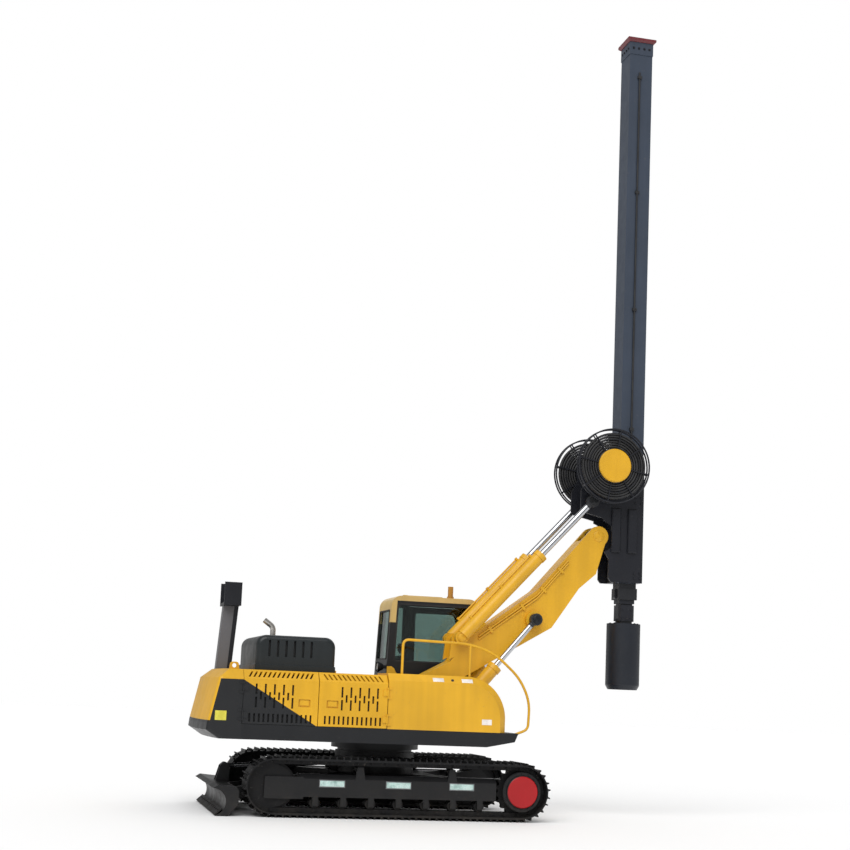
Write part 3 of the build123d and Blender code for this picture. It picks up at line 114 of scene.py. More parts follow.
class NodeWriter:
    """Adds nodes to one shader tree and links them."""

    def __init__(self, tree: bpy.types.NodeTree) -> None:
        """Keep the tree that the nodes go to."""
        self.tree = tree

    def add(self, kind: str, **settings: object) -> bpy.types.Node:
        """Add one node.

        Args:
            kind: The node's type.
            settings: Properties of the node by name.

        Returns:
            The new node.
        """
        node = self.tree.nodes.new(kind)
        for name, value in settings.items():
            setattr(node, name, value)
        return node

    def feed(self, socket: Socket, value: object) -> None:
        """Link a socket to another one, or set its value."""
        if isinstance(value, bpy.types.NodeSocket):
            self.tree.links.new(value, socket)
        else:
            socket.default_value = value

    def math(self, operation: str, first: object, second: object = 0.0) -> Socket:
        """A Math node on two values.

        Args:
            operation: The node's operation.
            first: A socket or a number.
            second: A socket or a number.

        Returns:
            The node's output.
        """
        node = self.add("ShaderNodeMath", operation=operation)
        self.feed(node.inputs[0], first)
        self.feed(node.inputs[1], second)
        return node.outputs[0]

    def noise(self, vector: Socket, scale: float, detail: float, rough: float = 0.55) -> Socket:
        """A noise texture's value.

        Args:
            vector: Where the noise is read.
            scale: Its scale, per metre.
            detail: Its number of octaves.
            rough: How strong the fine octaves are.

        Returns:
            The noise, about 0.5 in the middle.
        """
        node = self.add("ShaderNodeTexNoise")
        self.feed(node.inputs["Vector"], vector)
        self.feed(node.inputs["Scale"], scale)
        self.feed(node.inputs["Detail"], detail)
        self.feed(node.inputs["Roughness"], rough)
        return node.outputs[0]

    def ramp(self, value: object, low: object, high: object, start: float = 0.0,
             end: float = 1.0) -> Socket:
        """A value carried from one range to another, and held at its ends.

        Args:
            value: A socket or a number.
            low: The input at which the output is start.
            high: The input at which the output is end.
            start: The first output.
            end: The last output.

        Returns:
            The output.
        """
        node = self.add("ShaderNodeMapRange")
        for name, given in (("Value", value), ("From Min", low), ("From Max", high)):
            self.feed(node.inputs[name], given)
        self.feed(node.inputs["To Min"], start)
        self.feed(node.inputs["To Max"], end)
        return node.outputs[0]

    def mix(self, factor: object, first: object, second: object) -> Socket:
        """Two colours mixed by a factor.

        Args:
            factor: A socket or a number; 0 gives the first colour.
            first: A socket or a colour of four numbers.
            second: A socket or a colour of four numbers.

        Returns:
            The mixed colour.
        """
        node = self.add("ShaderNodeMix", data_type="RGBA")
        self.feed(node.inputs[0], factor)
        self.feed(node.inputs[6], first)
        self.feed(node.inputs[7], second)
        return node.outputs[2]

    def place(self) -> tuple[Socket, Socket, Socket, Socket]:
        """The Object coordinates as a vector and as three numbers."""
        vector = self.add("ShaderNodeTexCoord").outputs["Object"]
        split = self.add("ShaderNodeSeparateXYZ")
        self.feed(split.inputs[0], vector)
        return (vector, *split.outputs)

    def stretched(self, vector: Socket, scale: object) -> Socket:
        """A vector with its own scale along each axis, for streaks and brushed lines."""
        node = self.add("ShaderNodeMapping")
        self.feed(node.inputs["Vector"], vector)
        self.feed(node.inputs["Scale"], scale)
        return node.outputs[0]


class Effects:
    """The shader node groups that several finishes share."""

    def __init__(self) -> None:
        """Build each group once."""
        self.weathering = self._weathering()
        self.brushed = self._brushed()

    @staticmethod
    def _start(name: str, inputs: dict[str, str]) -> tuple[NodeWriter, dict, dict]:
        """Start a group with its named sockets.

        Args:
            name: The group's name.
            inputs: Each input's name and socket type.

        Returns:
            A writer for the group, its inputs by name and its outputs by name.
        """
        outputs = {"Color": "NodeSocketColor", "Roughness": "NodeSocketFloat", "Height": "NodeSocketFloat"}
        tree = bpy.data.node_groups.new(name, "ShaderNodeTree")
        for direction, sockets in (("INPUT", inputs), ("OUTPUT", outputs)):
            for label, kind in sockets.items():
                tree.interface.new_socket(label, in_out=direction, socket_type=kind)
        writer = NodeWriter(tree)
        given = writer.add("NodeGroupInput").outputs
        made = writer.add("NodeGroupOutput").inputs
        found = {label: given[label] for label in inputs}
        return writer, found, {label: made[label] for label in outputs}

    def _weathering(self) -> bpy.types.NodeTree:
        """Paint that has faded in patches, is scuffed, streaked by rain and dusty near the ground."""
        colours = {"Clean": "NodeSocketColor", "Worn": "NodeSocketColor", "Dust": "NodeSocketColor"}
        numbers = {name: "NodeSocketFloat" for name in ("Wear", "Dust Height", "Roughness")}
        writer, given, made = self._start("weathering", {**colours, **numbers})
        vector, _, _, height = writer.place()
        fade = writer.ramp(writer.noise(vector, scale=0.9, detail=3), 0.3, 0.7, 0.86, 1.08)
        streak = writer.noise(writer.stretched(vector, (9, 9, 0.5)), 1.0, 4)
        fade = writer.math("MULTIPLY", fade, writer.ramp(streak, 0.35, 0.65, 0.95, 1.04))
        tone = writer.add("ShaderNodeHueSaturation")
        writer.feed(tone.inputs["Value"], fade)
        writer.feed(tone.inputs["Color"], given["Clean"])
        patches = writer.ramp(writer.noise(vector, scale=1.7, detail=2), 0.42, 0.62)
        scuffs = writer.ramp(writer.noise(vector, scale=23, detail=9, rough=0.7), 0.6, 0.66)
        worn = writer.math("MULTIPLY", writer.math("MULTIPLY", patches, scuffs), given["Wear"])
        low = writer.ramp(height, given["Dust Height"], 0.0)
        cloud = writer.ramp(writer.noise(vector, scale=4, detail=6, rough=0.65), 0.36, 0.66)
        dust = writer.math("MULTIPLY", writer.math("MULTIPLY", low, low), cloud)
        colour = writer.mix(worn, tone.outputs[0], given["Worn"])
        writer.feed(made["Color"], writer.mix(writer.math("MULTIPLY", dust, 0.55), colour, given["Dust"]))
        rough = writer.ramp(writer.noise(vector, scale=6, detail=5), 0.3, 0.7, -0.06, 0.08)
        rough = writer.math("ADD", given["Roughness"], rough)
        rough = writer.math("ADD", rough, writer.math("MULTIPLY", dust, 0.3))
        writer.feed(made["Roughness"], writer.math("ADD", rough, writer.math("MULTIPLY", worn, 0.2)))
        writer.feed(made["Height"], writer.noise(vector, scale=190, detail=2))
        return writer.tree

    def _brushed(self) -> bpy.types.NodeTree:
        """Bare metal with fine lines along one axis and a few smears."""
        inputs = {"Metal": "NodeSocketColor", "Roughness": "NodeSocketFloat", "Lines": "NodeSocketVector"}
        writer, given, made = self._start("brushed", inputs)
        vector = writer.place()[0]
        lines = writer.noise(writer.stretched(vector, given["Lines"]), 1.0, 4)
        smear = writer.ramp(writer.noise(vector, scale=5, detail=5), 0.35, 0.7)
        tone = writer.add("ShaderNodeHueSaturation")
        writer.feed(tone.inputs["Value"], writer.ramp(lines, 0.3, 0.7, 0.88, 1.06))
        writer.feed(tone.inputs["Color"], given["Metal"])
        writer.feed(made["Color"], tone.outputs[0])
        rough = writer.math("ADD", given["Roughness"], writer.math("MULTIPLY", smear, 0.09))
        writer.feed(made["Roughness"], writer.math("ADD", rough, writer.ramp(lines, 0.3, 0.7, -0.03, 0.05)))
        writer.feed(made["Height"], lines)
        return writer.tree


def solid(colour: Colour) -> tuple[float, float, float, float]:
    """A colour with full opacity, as node sockets take it."""
    return (*colour, 1.0)


def new_material(name: str) -> tuple[bpy.types.Material, NodeWriter, bpy.types.Node]:
    """Start a material with a Principled shader.

    Args:
        name: The material's name.

    Returns:
        The material, a writer for its nodes and its shader.
    """
    material = bpy.data.materials.new(name)
    material.use_nodes = True
    return material, NodeWriter(material.node_tree), material.node_tree.nodes["Principled BSDF"]


def add_bump(writer: NodeWriter, shader: bpy.types.Node, height: Socket, strength: float,
             depth: float) -> None:
    """Give a shader a bump from a height.

    Args:
        writer: The material's node writer.
        shader: The shader that takes the normal.
        height: The height, from 0 to 1.
        strength: How strong the bump is.
        depth: The height of a full step, in metres.
    """
    bump = writer.add("ShaderNodeBump")
    bump.inputs["Strength"].default_value = strength
    bump.inputs["Distance"].default_value = depth
    writer.feed(bump.inputs["Height"], height)
    writer.feed(shader.inputs["Normal"], bump.outputs[0])


@dataclass(frozen=True)
class Paint:
    """Machine paint, weathered by the shared group."""

    slot: str
    clean: Colour
    worn: Colour = (0.16, 0.15, 0.14)
    dust: Colour = (0.19, 0.16, 0.125)
    roughness: float = 0.42
    wear: float = 0.35
    dust_height: float = 1.1
    grain: float = 0.12
    coat: float = 0.25
    specular: float = 0.5
    metallic: float = 0.0

    def colour(self, writer: NodeWriter) -> object:
        """The clean colour, which a paint in two colours works out from its place."""
        return solid(self.clean)

    def make(self, name: str, effects: Effects) -> bpy.types.Material:
        """Make the material.

        Args:
            name: The material's name.
            effects: The shared node groups.

        Returns:
            The material.
        """
        material, writer, shader = new_material(name)
        group = writer.add("ShaderNodeGroup", node_tree=effects.weathering)
        values = {"Clean": self.colour(writer), "Worn": solid(self.worn), "Dust": solid(self.dust),
                  "Wear": self.wear, "Dust Height": self.dust_height, "Roughness": self.roughness}
        for label, value in values.items():
            writer.feed(group.inputs[label], value)
        writer.feed(shader.inputs["Base Color"], group.outputs["Color"])
        writer.feed(shader.inputs["Roughness"], group.outputs["Roughness"])
        shader.inputs["Coat Weight"].default_value = self.coat
        shader.inputs["Coat Roughness"].default_value = 0.2
        shader.inputs["Specular IOR Level"].default_value = self.specular
        shader.inputs["Metallic"].default_value = self.metallic
        add_bump(writer, shader, group.outputs["Height"], self.grain, 0.0006)
        return material


@dataclass(frozen=True)
class TailPaint(Paint):
    """Yellow paint with a black flank on the tail and a black triangle on the door beside it."""

    second: Colour = (0.022, 0.024, 0.026)
    slew_x: float = 0.0
    skirt_top: float = 1.235
    flank_y: float = 1.246
    door_y: float = 1.18
    shoulder_z: float = 1.785
    tail_x: float = -2.075
    point_x: float = -1.13

    def colour(self, writer: NodeWriter) -> object:
        """Black below the skirt's top, on the tail's flank and under the door's slanted line."""
        _, x, y, z = writer.place()
        on_tail = writer.math("LESS_THAN", x, self.slew_x + self.tail_x)
        step = writer.math("MULTIPLY", on_tail, self.flank_y - self.door_y)
        inner = writer.math("ADD", self.door_y, step)
        flank = writer.math("GREATER_THAN", writer.math("ABSOLUTE", y), inner)
        slope = (self.shoulder_z - self.skirt_top) / (self.point_x - self.tail_x)
        along = writer.math("SUBTRACT", x, self.slew_x + self.tail_x)
        line = writer.math("SUBTRACT", self.shoulder_z, writer.math("MULTIPLY", along, slope))
        line = writer.math("MINIMUM", line, self.shoulder_z)
        under = writer.math("MULTIPLY", flank, writer.math("LESS_THAN", z, line))
        skirt = writer.math("LESS_THAN", z, self.skirt_top)
        black = writer.math("MAXIMUM", under, writer.math("MULTIPLY", skirt, on_tail))
        return writer.mix(black, solid(self.clean), solid(self.second))


@dataclass(frozen=True)
class CabPaint(Paint):
    """Black cab paint with a pale yellow corner at the top of the rear edge."""

    second: Colour = (0.62, 0.44, 0.16)
    slew_x: float = 0.0
    corner_z: float = 2.72
    sill: Pair = (0.22, 1.95)
    roof: Pair = (0.265, 3.12)
    band: float = 0.085

    def colour(self, writer: NodeWriter) -> object:
        """Pale yellow within a band along the rear edge, above the corner's height."""
        _, x, _, z = writer.place()
        lean = (self.roof[0] - self.sill[0]) / (self.roof[1] - self.sill[1])
        edge = writer.math("MULTIPLY", writer.math("SUBTRACT", z, self.sill[1]), lean)
        edge = writer.math("ADD", edge, self.slew_x + self.sill[0] + self.band)
        corner = writer.math("MULTIPLY", writer.math("LESS_THAN", x, edge),
                             writer.math("GREATER_THAN", z, self.corner_z))
        return writer.mix(corner, solid(self.clean), solid(self.second))


@dataclass(frozen=True)
class HeightPaint(Paint):
    """Paint with a second colour above or below one height."""

    second: Colour = (0.012, 0.013, 0.016)
    height: float = 0.0
    above: bool = True

    def colour(self, writer: NodeWriter) -> object:
        """The second colour on its side of the height."""
        z = writer.place()[3]
        mask = writer.math("GREATER_THAN" if self.above else "LESS_THAN", z, self.height)
        return writer.mix(mask, solid(self.clean), solid(self.second))


@dataclass(frozen=True)
class DiscPaint(Paint):
    """Paint in a disc across Y, with a second colour round it."""

    second: Colour = (0.011, 0.011, 0.012)
    middle: Pair = (0.0, 0.0)
    disc_radius: float = 0.215

    def colour(self, writer: NodeWriter) -> object:
        """The second colour beyond the disc's radius."""
        _, x, _, z = writer.place()
        parts = [writer.math("POWER", writer.math("SUBTRACT", place, centre), 2.0)
                 for place, centre in zip((x, z), self.middle)]
        outside = writer.math("GREATER_THAN", writer.math("ADD", *parts), self.disc_radius ** 2)
        return writer.mix(outside, solid(self.clean), solid(self.second))


@dataclass(frozen=True)
class RestPaint(Paint):
    """Grey paint on the mast rest's leaning post, with a dark strip at its front and a dark cradle."""

    second: Colour = (0.010, 0.011, 0.015)
    slew_x: float = 0.0
    foot: Pair = (-2.225, 1.92)
    neck: Pair = (-2.165, 2.80)
    strip: float = 0.045

    def colour(self, writer: NodeWriter) -> object:
        """Dark ahead of the leaning line and above the neck."""
        _, x, _, z = writer.place()
        lean = (self.neck[0] - self.foot[0]) / (self.neck[1] - self.foot[1])
        line = writer.math("MULTIPLY", writer.math("SUBTRACT", z, self.foot[1]), lean)
        line = writer.math("ADD", line, self.slew_x + self.foot[0] + self.strip)
        dark = writer.math("MAXIMUM", writer.math("GREATER_THAN", x, line),
                           writer.math("GREATER_THAN", z, self.neck[1]))
        return writer.mix(dark, solid(self.clean), solid(self.second))


@dataclass(frozen=True)
class Metal:
    """Bare metal with fine lines, from the shared group."""

    slot: str
    colour: Colour
    roughness: float
    lines: Point = (40, 40, 40)
    bump: float = 0.05

    def make(self, name: str, effects: Effects) -> bpy.types.Material:
        """Make the material.

        Args:
            name: The material's name.
            effects: The shared node groups.

        Returns:
            The material.
        """
        material, writer, shader = new_material(name)
        group = writer.add("ShaderNodeGroup", node_tree=effects.brushed)
        values = {"Metal": solid(self.colour), "Roughness": self.roughness, "Lines": self.lines}
        for label, value in values.items():
            writer.feed(group.inputs[label], value)
        writer.feed(shader.inputs["Base Color"], group.outputs["Color"])
        writer.feed(shader.inputs["Roughness"], group.outputs["Roughness"])
        shader.inputs["Metallic"].default_value = 1.0
        add_bump(writer, shader, group.outputs["Height"], self.bump, 0.0004)
        return material


@dataclass(frozen=True)
class RodMetal(Metal):
    """Chromed rods whose eyes are painted."""

    eyes: Line = ()
    eye_radius: float = 0.135
    paint: Colour = (0.020, 0.021, 0.024)
    paint_roughness: float = 0.5
    slew_x: float = 0.0

    def make(self, name: str, effects: Effects) -> bpy.types.Material:
        """Make the material.

        Args:
            name: The material's name.
            effects: The shared node groups.

        Returns:
            The material.
        """
        material = super().make(name, effects)
        writer, shader = NodeWriter(material.node_tree), material.node_tree.nodes["Principled BSDF"]
        _, x, _, z = writer.place()
        mask: object = 0.0
        for eye_x, eye_z in self.eyes:
            parts = [writer.math("POWER", writer.math("SUBTRACT", place, middle), 2.0)
                     for place, middle in ((x, eye_x + self.slew_x), (z, eye_z))]
            near = writer.math("LESS_THAN", writer.math("ADD", *parts), self.eye_radius ** 2)
            mask = writer.math("MAXIMUM", mask, near)
        colour, rough = (shader.inputs[label].links[0].from_socket
                         for label in ("Base Color", "Roughness"))
        writer.feed(shader.inputs["Base Color"], writer.mix(mask, colour, solid(self.paint)))
        writer.feed(shader.inputs["Metallic"], writer.math("SUBTRACT", 1.0, mask))
        painted = writer.math("MULTIPLY", mask, self.paint_roughness)
        writer.feed(shader.inputs["Roughness"], writer.math("MAXIMUM", rough, painted))
        return material


@dataclass(frozen=True)
class Glass:
    """A clear or tinted pane or lens with faint smears."""

    slot: str
    colour: Colour
    roughness: float = 0.03
    transmission: float = 1.0

    def make(self, name: str, effects: Effects) -> bpy.types.Material:
        """Make the material.

        Args:
            name: The material's name.
            effects: Not used by glass, which has no shared effect.

        Returns:
            The material.
        """
        material, writer, shader = new_material(name)
        vector = writer.place()[0]
        smear = writer.ramp(writer.noise(vector, scale=7, detail=6, rough=0.65), 0.45, 0.75)
        rough = writer.ramp(smear, 0.0, 1.0, self.roughness, self.roughness + 0.1)
        writer.feed(shader.inputs["Roughness"], rough)
        dim = tuple(channel * 0.86 for channel in self.colour)
        writer.feed(shader.inputs["Base Color"], writer.mix(smear, solid(self.colour), solid(dim)))
        shader.inputs["Transmission Weight"].default_value = self.transmission
        shader.inputs["IOR"].default_value = 1.45
        return material


@dataclass(frozen=True)
class Moulding:
    """Rubber, plastic or cloth: a grained, dull surface with a little dust."""

    slot: str
    colour: Colour
    roughness: float = 0.6
    grain_scale: float = 420.0
    grain: float = 0.25
    weave: bool = False
    sheen: float = 0.0

    def make(self, name: str, effects: Effects) -> bpy.types.Material:
        """Make the material.

        Args:
            name: The material's name.
            effects: Not used, because the grain is the material's own.

        Returns:
            The material.
        """
        material, writer, shader = new_material(name)
        vector = writer.place()[0]
        dust = writer.ramp(writer.noise(vector, scale=8, detail=6, rough=0.65), 0.4, 0.75)
        pale = tuple(channel * 1.5 + 0.012 for channel in self.colour)
        colour = writer.mix(dust, solid(self.colour), solid(pale))
        grain = writer.noise(vector, self.grain_scale, 3)
        if self.weave:
            waves = []
            for direction in ("X", "Z"):
                wave = writer.add("ShaderNodeTexWave", bands_direction=direction)
                writer.feed(wave.inputs["Vector"], vector)
                wave.inputs["Scale"].default_value = self.grain_scale
                waves.append(wave.outputs["Fac"])
            grain = writer.math("MULTIPLY", *waves)
            colour = writer.mix(writer.ramp(grain, 0.2, 0.8, 0.0, 0.5), colour, solid(pale))
        writer.feed(shader.inputs["Base Color"], colour)
        dull = self.roughness + 0.15
        writer.feed(shader.inputs["Roughness"], writer.ramp(dust, 0.0, 1.0, self.roughness, dull))
        shader.inputs["Sheen Weight"].default_value = self.sheen
        add_bump(writer, shader, grain, self.grain, 0.0008)
        return material


@dataclass(frozen=True)
class ReflectorSheet:
    """Pale teal sheeting with a fine honeycomb of cells."""

    slot: str
    colour: Colour
    line: Colour
    cells: float = 90.0

    def make(self, name: str, effects: Effects) -> bpy.types.Material:
        """Make the material.

        Args:
            name: The material's name.
            effects: Not used, because only this sheet has cells.

        Returns:
            The material.
        """
        material, writer, shader = new_material(name)
        vector = writer.place()[0]
        cells = writer.add("ShaderNodeTexVoronoi", feature="DISTANCE_TO_EDGE")
        writer.feed(cells.inputs["Vector"], vector)
        cells.inputs["Scale"].default_value = self.cells
        cells.inputs["Randomness"].default_value = 0.15
        wall = writer.ramp(cells.outputs["Distance"], 0.02, 0.09)
        grime = writer.ramp(writer.noise(vector, scale=12, detail=5), 0.45, 0.75)
        colour = writer.mix(wall, solid(self.line), solid(self.colour))
        dark = tuple(channel * 0.55 for channel in self.colour)
        writer.feed(shader.inputs["Base Color"], writer.mix(grime, colour, solid(dark)))
        writer.feed(shader.inputs["Roughness"], writer.ramp(grime, 0.0, 1.0, 0.25, 0.5))
        return material


class Finishes:
    """Every finish of the rig, made once."""

    def __init__(self, slew_x: float) -> None:
        """Make the shared groups and every material.

        Args:
            slew_x: Where the slew axis stands along X, for paint in two colours.
        """
        effects = Effects()
        yellow, soot, off_black = (0.70, 0.375, 0.012), (0.012, 0.013, 0.015), (0.011, 0.011, 0.012)
        rod_eyes = ((2.25, 2.83), (3.08, 4.63), (-2.125, 0.59))
        low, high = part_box("drive_covers")
        drive_middle = ((low.x + high.x) / 2, (low.z + high.z) / 2)
        satin = {"coat": 0.1, "specular": 0.35}
        dull = {"coat": 0.05, "specular": 0.3}
        muddy = {"dust": (0.06, 0.052, 0.043), "coat": 0.0, "specular": 0.3}
        recipes = {
            Finish.YELLOW: Paint("yellow", yellow, worn=(0.30, 0.17, 0.05), wear=0.3, coat=0.12,
                                 specular=0.4),
            Finish.TAIL: TailPaint("yellow", yellow, worn=(0.1, 0.08, 0.05), wear=0.2, second=soot,
                                   slew_x=slew_x, **satin),
            Finish.BLACK: Paint("black", soot, worn=(0.05, 0.047, 0.045), dust_height=0.9, **dull),
            Finish.HOOD: Paint("plastic", (0.013, 0.017, 0.019), worn=(0.04, 0.045, 0.045), roughness=0.36,
                               wear=0.2, **satin),
            Finish.CAB: CabPaint("black", (0.010, 0.011, 0.013), worn=(0.04, 0.04, 0.04), wear=0.15,
                                 slew_x=slew_x, **satin),
            Finish.MAST: HeightPaint("mast_grey", (0.040, 0.053, 0.078), worn=(0.09, 0.085, 0.085), wear=0.45,
                                     height=3.458, above=False, **satin),
            Finish.BRACKET: Paint("mast_grey", (0.012, 0.013, 0.018), worn=(0.07, 0.065, 0.06), wear=0.45,
                                  **dull),
            Finish.DRILL: Paint("mast_grey", (0.012, 0.015, 0.022), worn=(0.05, 0.05, 0.05), roughness=0.36,
                                wear=0.35, **satin),
            Finish.RED: DiscPaint("red", (0.36, 0.006, 0.009), worn=(0.14, 0.02, 0.015), wear=0.2,
                                  dust_height=0.1, middle=drive_middle, **satin),
            Finish.CAP: Paint("red", (0.14, 0.014, 0.02), worn=(0.08, 0.03, 0.03)),
            Finish.REST: RestPaint("mast_grey", (0.125, 0.123, 0.13), worn=(0.15, 0.14, 0.13), slew_x=slew_x,
                                   **dull),
            Finish.TRACK: Paint("track_steel", off_black, worn=(0.12, 0.11, 0.10), roughness=0.5, wear=0.7,
                                dust_height=0.7, metallic=0.3, **muddy),
            Finish.FRAME: Paint("black", off_black, worn=(0.06, 0.055, 0.05), dust_height=0.6, **muddy),
            Finish.STEEL: Metal("steel", (0.22, 0.22, 0.23), 0.4),
            Finish.CHROME: RodMetal("chrome", (0.52, 0.53, 0.55), 0.16, lines=(180, 6, 180), bump=0.015,
                                    eyes=rod_eyes, slew_x=slew_x),
            Finish.EXHAUST: Metal("steel", (0.52, 0.50, 0.47), 0.27, lines=(70, 70, 12)),
            Finish.HOSE: Moulding("hose", off_black, roughness=0.5),
            Finish.RUBBER: Moulding("plastic", (0.009, 0.009, 0.010), roughness=0.65, grain_scale=300),
            Finish.GLASS: Glass("glass", (0.34, 0.45, 0.42)),
            Finish.SEAT: Moulding("seat", (0.022, 0.023, 0.026), 0.8, 260, 0.5, weave=True, sheen=0.3),
            Finish.PLASTIC: Moulding("plastic", (0.018, 0.018, 0.020), 0.5, 700),
            Finish.AMBER: Glass("amber", (0.55, 0.27, 0.05), 0.2, 0.3),
            Finish.REFLECTOR: ReflectorSheet("plastic", (0.36, 0.62, 0.56), (0.62, 0.75, 0.72)),
            Finish.LABEL: Moulding("plastic", (0.66, 0.62, 0.58), 0.45, 500, 0.05),
            Finish.LAMP: Glass("glass", (0.85, 0.86, 0.86), 0.08, 0.5),
            Finish.ROOF: Paint("yellow", (0.60, 0.42, 0.15), worn=(0.3, 0.2, 0.08), wear=0.15),
            Finish.PLATE: Moulding("yellow", (0.58, 0.52, 0.05), 0.4, 500, 0.05),
        }
        self.slots = {finish: recipe.slot for finish, recipe in recipes.items()}
        self.materials = {finish: recipe.make(finish.value, effects)
                          for finish, recipe in recipes.items()}

    def dress(self, thing: bpy.types.Object, finish: Finish) -> None:
        """Give an object one finish all over."""
        thing.data.materials.clear()
        thing.data.materials.append(self.materials[finish])


class Shape:
    """A mesh in the making, in metres in the frame of the model."""

    washer_sunk: float = 0.3
    washer_proud: float = 0.25
    washer_wide: float = 1.45
    washer_sides: int = 10
    cushion_rim: float = 0.16
    cushion_flat: float = 0.72

    def __init__(self) -> None:
        """Start with an empty mesh."""
        self.bm = bmesh.new()

    @staticmethod
    def _edges(verts: Sequence[bmesh.types.BMVert]) -> list:
        """Every edge at the given vertices."""
        return list({edge for vert in verts for edge in vert.link_edges})

    def _bevel(self, geom: list, by: float, segments: int = 2, affect: str = "EDGES") -> None:
        """Bevel edges, or corners.

        Args:
            geom: The edges or the vertices.
            by: The bevel's width; zero leaves them sharp.
            segments: The bevel's steps.
            affect: EDGES, or VERTICES for corners.
        """
        if by > 0:
            bmesh.ops.bevel(self.bm, geom=geom, offset=by, offset_type="OFFSET", segments=segments,
                            profile=0.5, affect=affect, clamp_overlap=True, material=-1)

    def box(self, low: Place, high: Place, soft: float = 0.0, turn: Matrix | None = None) -> None:
        """A box between two corners.

        Args:
            low: Its lowest corner.
            high: Its highest corner.
            soft: The width of its bevelled edges.
            turn: A turn about its own middle.
        """
        low, high = Vector(low), Vector(high)
        place = Matrix.Translation((low + high) / 2)
        if turn is not None:
            place = place @ turn.to_4x4()
        place = place @ Matrix.Diagonal((*(high - low), 1))
        made = bmesh.ops.create_cube(self.bm, size=1.0, matrix=place)
        self._bevel(self._edges(made["verts"]), soft)

    def bar(self, start: Place, end: Place, radius: float, sides: int = 16, soft: float = 0.0,
            end_radius: float | None = None) -> None:
        """A round bar, or a cone, between two points.

        Args:
            start: The middle of its first end.
            end: The middle of its last end.
            radius: Its radius at the start.
            sides: Its number of flats.
            soft: The width of its bevelled rims.
            end_radius: Its radius at the end, where it differs.
        """
        start, end = Vector(start), Vector(end)
        along = end - start
        turn = Z_AXIS.rotation_difference(along).to_matrix().to_4x4()
        made = bmesh.ops.create_cone(
            self.bm, cap_ends=True, segments=sides, radius1=radius,
            radius2=radius if end_radius is None else end_radius, depth=along.length,
            matrix=Matrix.Translation((start + end) / 2) @ turn)
        rims = [edge for edge in self._edges(made["verts"])
                if any(len(face.verts) > 4 for face in edge.link_faces)]
        self._bevel(rims, soft)

    def turned(self, profile: Sequence[Pair], centre: Place, axis: Place, steps: int = 48,
               closed: bool = False) -> None:
        """A profile of (radius, height) points spun about an axis.

        Args:
            profile: The points, from one end to the other.
            centre: Where height is zero.
            axis: The way of the height.
            steps: How many steps the spin takes.
            closed: Whether the last point joins the first, as on a ring.
        """
        centre, axis = Vector(centre), Vector(axis).normalized()
        across = axis.orthogonal().normalized()
        verts = [self.bm.verts.new(centre + across * radius + axis * height) for radius, height in profile]
        pairs = list(zip(verts, verts[1:]))
        if closed:
            pairs.append((verts[-1], verts[0]))
        edges = [self.bm.edges.new(pair) for pair in pairs]
        bmesh.ops.spin(self.bm, geom=verts + edges, cent=centre, axis=axis, angle=math.tau, steps=steps,
                       use_merge=True, use_normal_flip=False, use_duplicate=False)

    def ring(self, centre: Place, axis: Place, radius: float, thick: float, steps: int,
             sides: int = 8) -> None:
        """A round wire bent to a ring.

        Args:
            centre: The ring's middle.
            axis: The way that it faces.
            radius: Its radius to the wire's middle.
            thick: The wire's radius.
            steps: How many steps go round the ring.
            sides: How many flats go round the wire.
        """
        turn = math.tau / sides
        profile = [(radius + thick * math.cos(n * turn), thick * math.sin(n * turn))
                   for n in range(sides)]
        self.turned(profile, centre, axis, steps, closed=True)

    def bolts(self, places: Sequence[Place], axis: Place, radius: float, height: float) -> None:
        """Hexagon bolt heads on washers.

        Args:
            places: Where each one stands on its surface.
            axis: The way that the heads point.
            radius: A head's radius to its corners.
            height: A head's height.
        """
        axis = Vector(axis).normalized()
        for place in places:
            foot = Vector(place)
            self.bar(foot - axis * height * self.washer_sunk, foot + axis * height * self.washer_proud,
                     radius * self.washer_wide, self.washer_sides)
            self.bar(foot, foot + axis * height, radius, 6)

    def frame(self, corners: Sequence[Point], plane: Matrix, width: float, depth: float) -> None:
        """A flat rim along an outline with rounded corners, such as a window's seal.

        Args:
            corners: The outline's corners as (u, v, rounding).
            plane: Carries (u, v, 0) to its place, with the depth along its third axis.
            width: The rim's width, inside the outline.
            depth: The rim's thickness.
        """
        verts = [self.bm.verts.new((u, v, 0)) for u, v, _ in corners]
        self.bm.faces.new(verts)
        for vert, (_, _, by) in zip(verts, corners):
            self._bevel([vert], by, 5, "VERTICES")
        face = next(f for f in self.bm.faces if all(abs(v.co.z) < 1e-9 for v in f.verts) and not f.tag)
        rim = bmesh.ops.inset_region(self.bm, faces=[face], thickness=width, depth=0.0,
                                     use_boundary=True, use_even_offset=True)["faces"]
        bmesh.ops.delete(self.bm, geom=[face], context="FACES_ONLY")
        grown = bmesh.ops.extrude_face_region(self.bm, geom=rim)["geom"]
        moved = [item for item in grown if isinstance(item, bmesh.types.BMVert)]
        bmesh.ops.translate(self.bm, verts=moved, vec=(0, 0, depth))
        rim_verts = list({v for f in rim for v in f.verts} | set(moved))
        bmesh.ops.transform(self.bm, matrix=plane, verts=rim_verts)
        for item in self.bm.faces:
            item.tag = True

    def plate(self, outline: Sequence[Pair], plane: Matrix, depth: float) -> None:
        """A flat plate with an outline of straight edges.

        Args:
            outline: The outline's corners as (u, v).
            plane: Carries (u, v, 0) to its place, with the depth along its third axis.
            depth: The plate's thickness.
        """
        rims = [[self.bm.verts.new(plane @ Vector((u, v, level))) for u, v in outline]
                for level in (0.0, depth)]
        for rim in rims:
            self.bm.faces.new(rim)
        count = len(outline)
        for number in range(count):
            after = (number + 1) % count
            self.bm.faces.new((rims[0][number], rims[0][after], rims[1][after], rims[1][number]))

